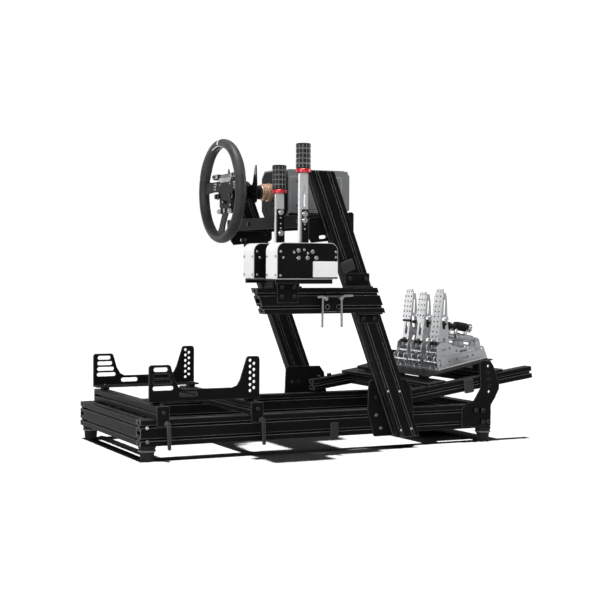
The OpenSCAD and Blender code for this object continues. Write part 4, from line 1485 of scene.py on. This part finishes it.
@dataclass
class Studio:
    """Floor, lamps and camera."""

    eye: tuple[float, float, float] = (-2.01294, -3.9962, 0.5922)
    azimuth: float = -25.71
    elevation: float = 1.66
    roll: float = 0.299
    lens: float = 79.37
    sensor: float = 36.0
    shift: tuple[float, float] = (0.012, 0.00633)
    air: float = 0.16
    mirror: float = 0.36
    paper: float = 0.315
    bounce: float = 0.5
    floor_half: float = 30.0

    def camera(self) -> None:
        """Camera at the fitted place: forward, right and up from azimuth, elevation and roll."""
        a, e, r = (math.radians(v) for v in (self.azimuth, self.elevation, self.roll))
        forward = np.array([-math.sin(a) * math.cos(e), math.cos(a) * math.cos(e), -math.sin(e)])
        right = np.array([math.cos(a), math.sin(a), 0.0])
        up = np.cross(right, forward)
        right, up = math.cos(r) * right + math.sin(r) * up, math.cos(r) * up - math.sin(r) * right
        data = bpy.data.cameras.new("camera")
        data.lens, data.sensor_width = self.lens, self.sensor
        data.shift_x, data.shift_y = self.shift
        data.clip_start, data.clip_end = 0.1, 60.0
        camera = linked("camera", data)
        camera.matrix_world = posed(np.array([right, up, -forward]), self.eye)
        bpy.context.scene.camera = camera

    def floor(self) -> None:
        """Wide flat floor; what the camera sees of it is lit from above alone, so that shadows stay deep."""
        half = self.floor_half
        mesh = bpy.data.meshes.new("floor")
        corners = [(-half, -half, 0), (half, -half, 0), (half, half, 0), (-half, half, 0)]
        mesh.from_pydata(corners, [], [(0, 1, 2, 3)])
        g = Graph(bpy.data.materials.new("floor_white"))
        path = g.add("ShaderNodeLightPath")
        bounce = g.add("ShaderNodeBsdfDiffuse", {}, {"Color": (self.bounce,) * 3 + (1,)})
        toon = {"Color": (self.paper,) * 3 + (1,), "Size": 0.3, "Smooth": 0.05}
        seen = g.add("ShaderNodeBsdfToon", {"component": "DIFFUSE"}, toon)
        choice = {0: path.outputs["Is Camera Ray"], 1: bounce.outputs[0], 2: seen.outputs[0]}
        mesh.materials.append(g.end(g.add("ShaderNodeMixShader", {}, choice)))
        floor = linked("floor", mesh)

    def lamp(self, name: str, place: tuple, aim: tuple, size: float, watts: float) -> None:
        """Square area lamp that looks at a point.

        Args:
            name: Its name.
            place: Where it hangs, in metres.
            aim: What it looks at.
            size: Side of the square.
            watts: Its power.
        """
        data = bpy.data.lights.new(name, "AREA")
        data.size, data.energy = size, watts
        linked(name, data).matrix_world = posed(basis(np.subtract(place, aim)), place)

    def world(self) -> None:
        """White surroundings for the camera; for light and for reflections their level is set apart."""
        world = bpy.data.worlds.new("studio")
        g = Graph(world, "ShaderNodeOutputWorld")
        rays = g.add("ShaderNodeLightPath").outputs
        level = self.air
        for ray, other in (("Is Glossy Ray", self.mirror), ("Is Camera Ray", 1.0)):
            sockets = {0: rays[ray], 2: level, 3: other}
            level = g.add("ShaderNodeMix", {"data_type": "FLOAT"}, sockets).outputs[0]
        g.end(g.add("ShaderNodeBackground", {}, {"Color": (1, 1, 1, 1), "Strength": level}))
        bpy.context.scene.world = world

    def overhead(self) -> None:
        """Narrow light from straight above, which lays the rails' shadows right under them."""
        data = bpy.data.lights.new("overhead", "SUN")
        data.angle, data.energy = math.radians(2.0), 3.2
        linked("overhead", data)

    def build(self) -> None:
        """Everything above, and the plain view transform."""
        bpy.context.scene.view_settings.view_transform = "Standard"
        self.camera()
        self.floor()
        self.world()
        self.overhead()
        self.lamp("softbox_left", (-3.8, -2.4, 1.8), (0, 0, 0.5), 1.5, 60)
        self.lamp("softbox_front", (-1.6, -4.8, 2.4), (0.1, 0, 0.5), 1.6, 75)
        self.lamp("card_back", (-3.4, 4.6, 1.4), (0.2, 0, 0.4), 2.4, 45)
        self.lamp("strip_right", (3.4, -1.2, 1.6), (0.2, 0, 0.5), 1.2, 40)


def main() -> None:
    """Builds the studio and every sub-assembly, and reports each piece."""
    logging.basicConfig(level=logging.INFO, format="%(message)s")
    parts = [Studio(), BaseFrame(), SeatFrame(), PedalTray()]
    parts.append(Pedal("throttle", y=-173, bottom=28, tall=175, wide=58, columns=2))
    parts.append(Pedal("brake", y=-67, bottom=98, tall=93, wide=56))
    parts.append(Pedal("clutch", y=28, bottom=92, tall=108, wide=58, stop=True))
    parts.append(SideArm())
    parts.append(HandUnit("shifter", -441.0, 829.0, True, plate_top=717, plate_wide=23, bolts=(703, 684)))
    parts.append(HandUnit("handbrake", -270.0, 774.0, False, plate_top=724, plate_wide=27, bolts=(714, 648)))
    parts.append(Steering())
    for part in parts:
        part.build()


if __name__ == "__main__":
    main()
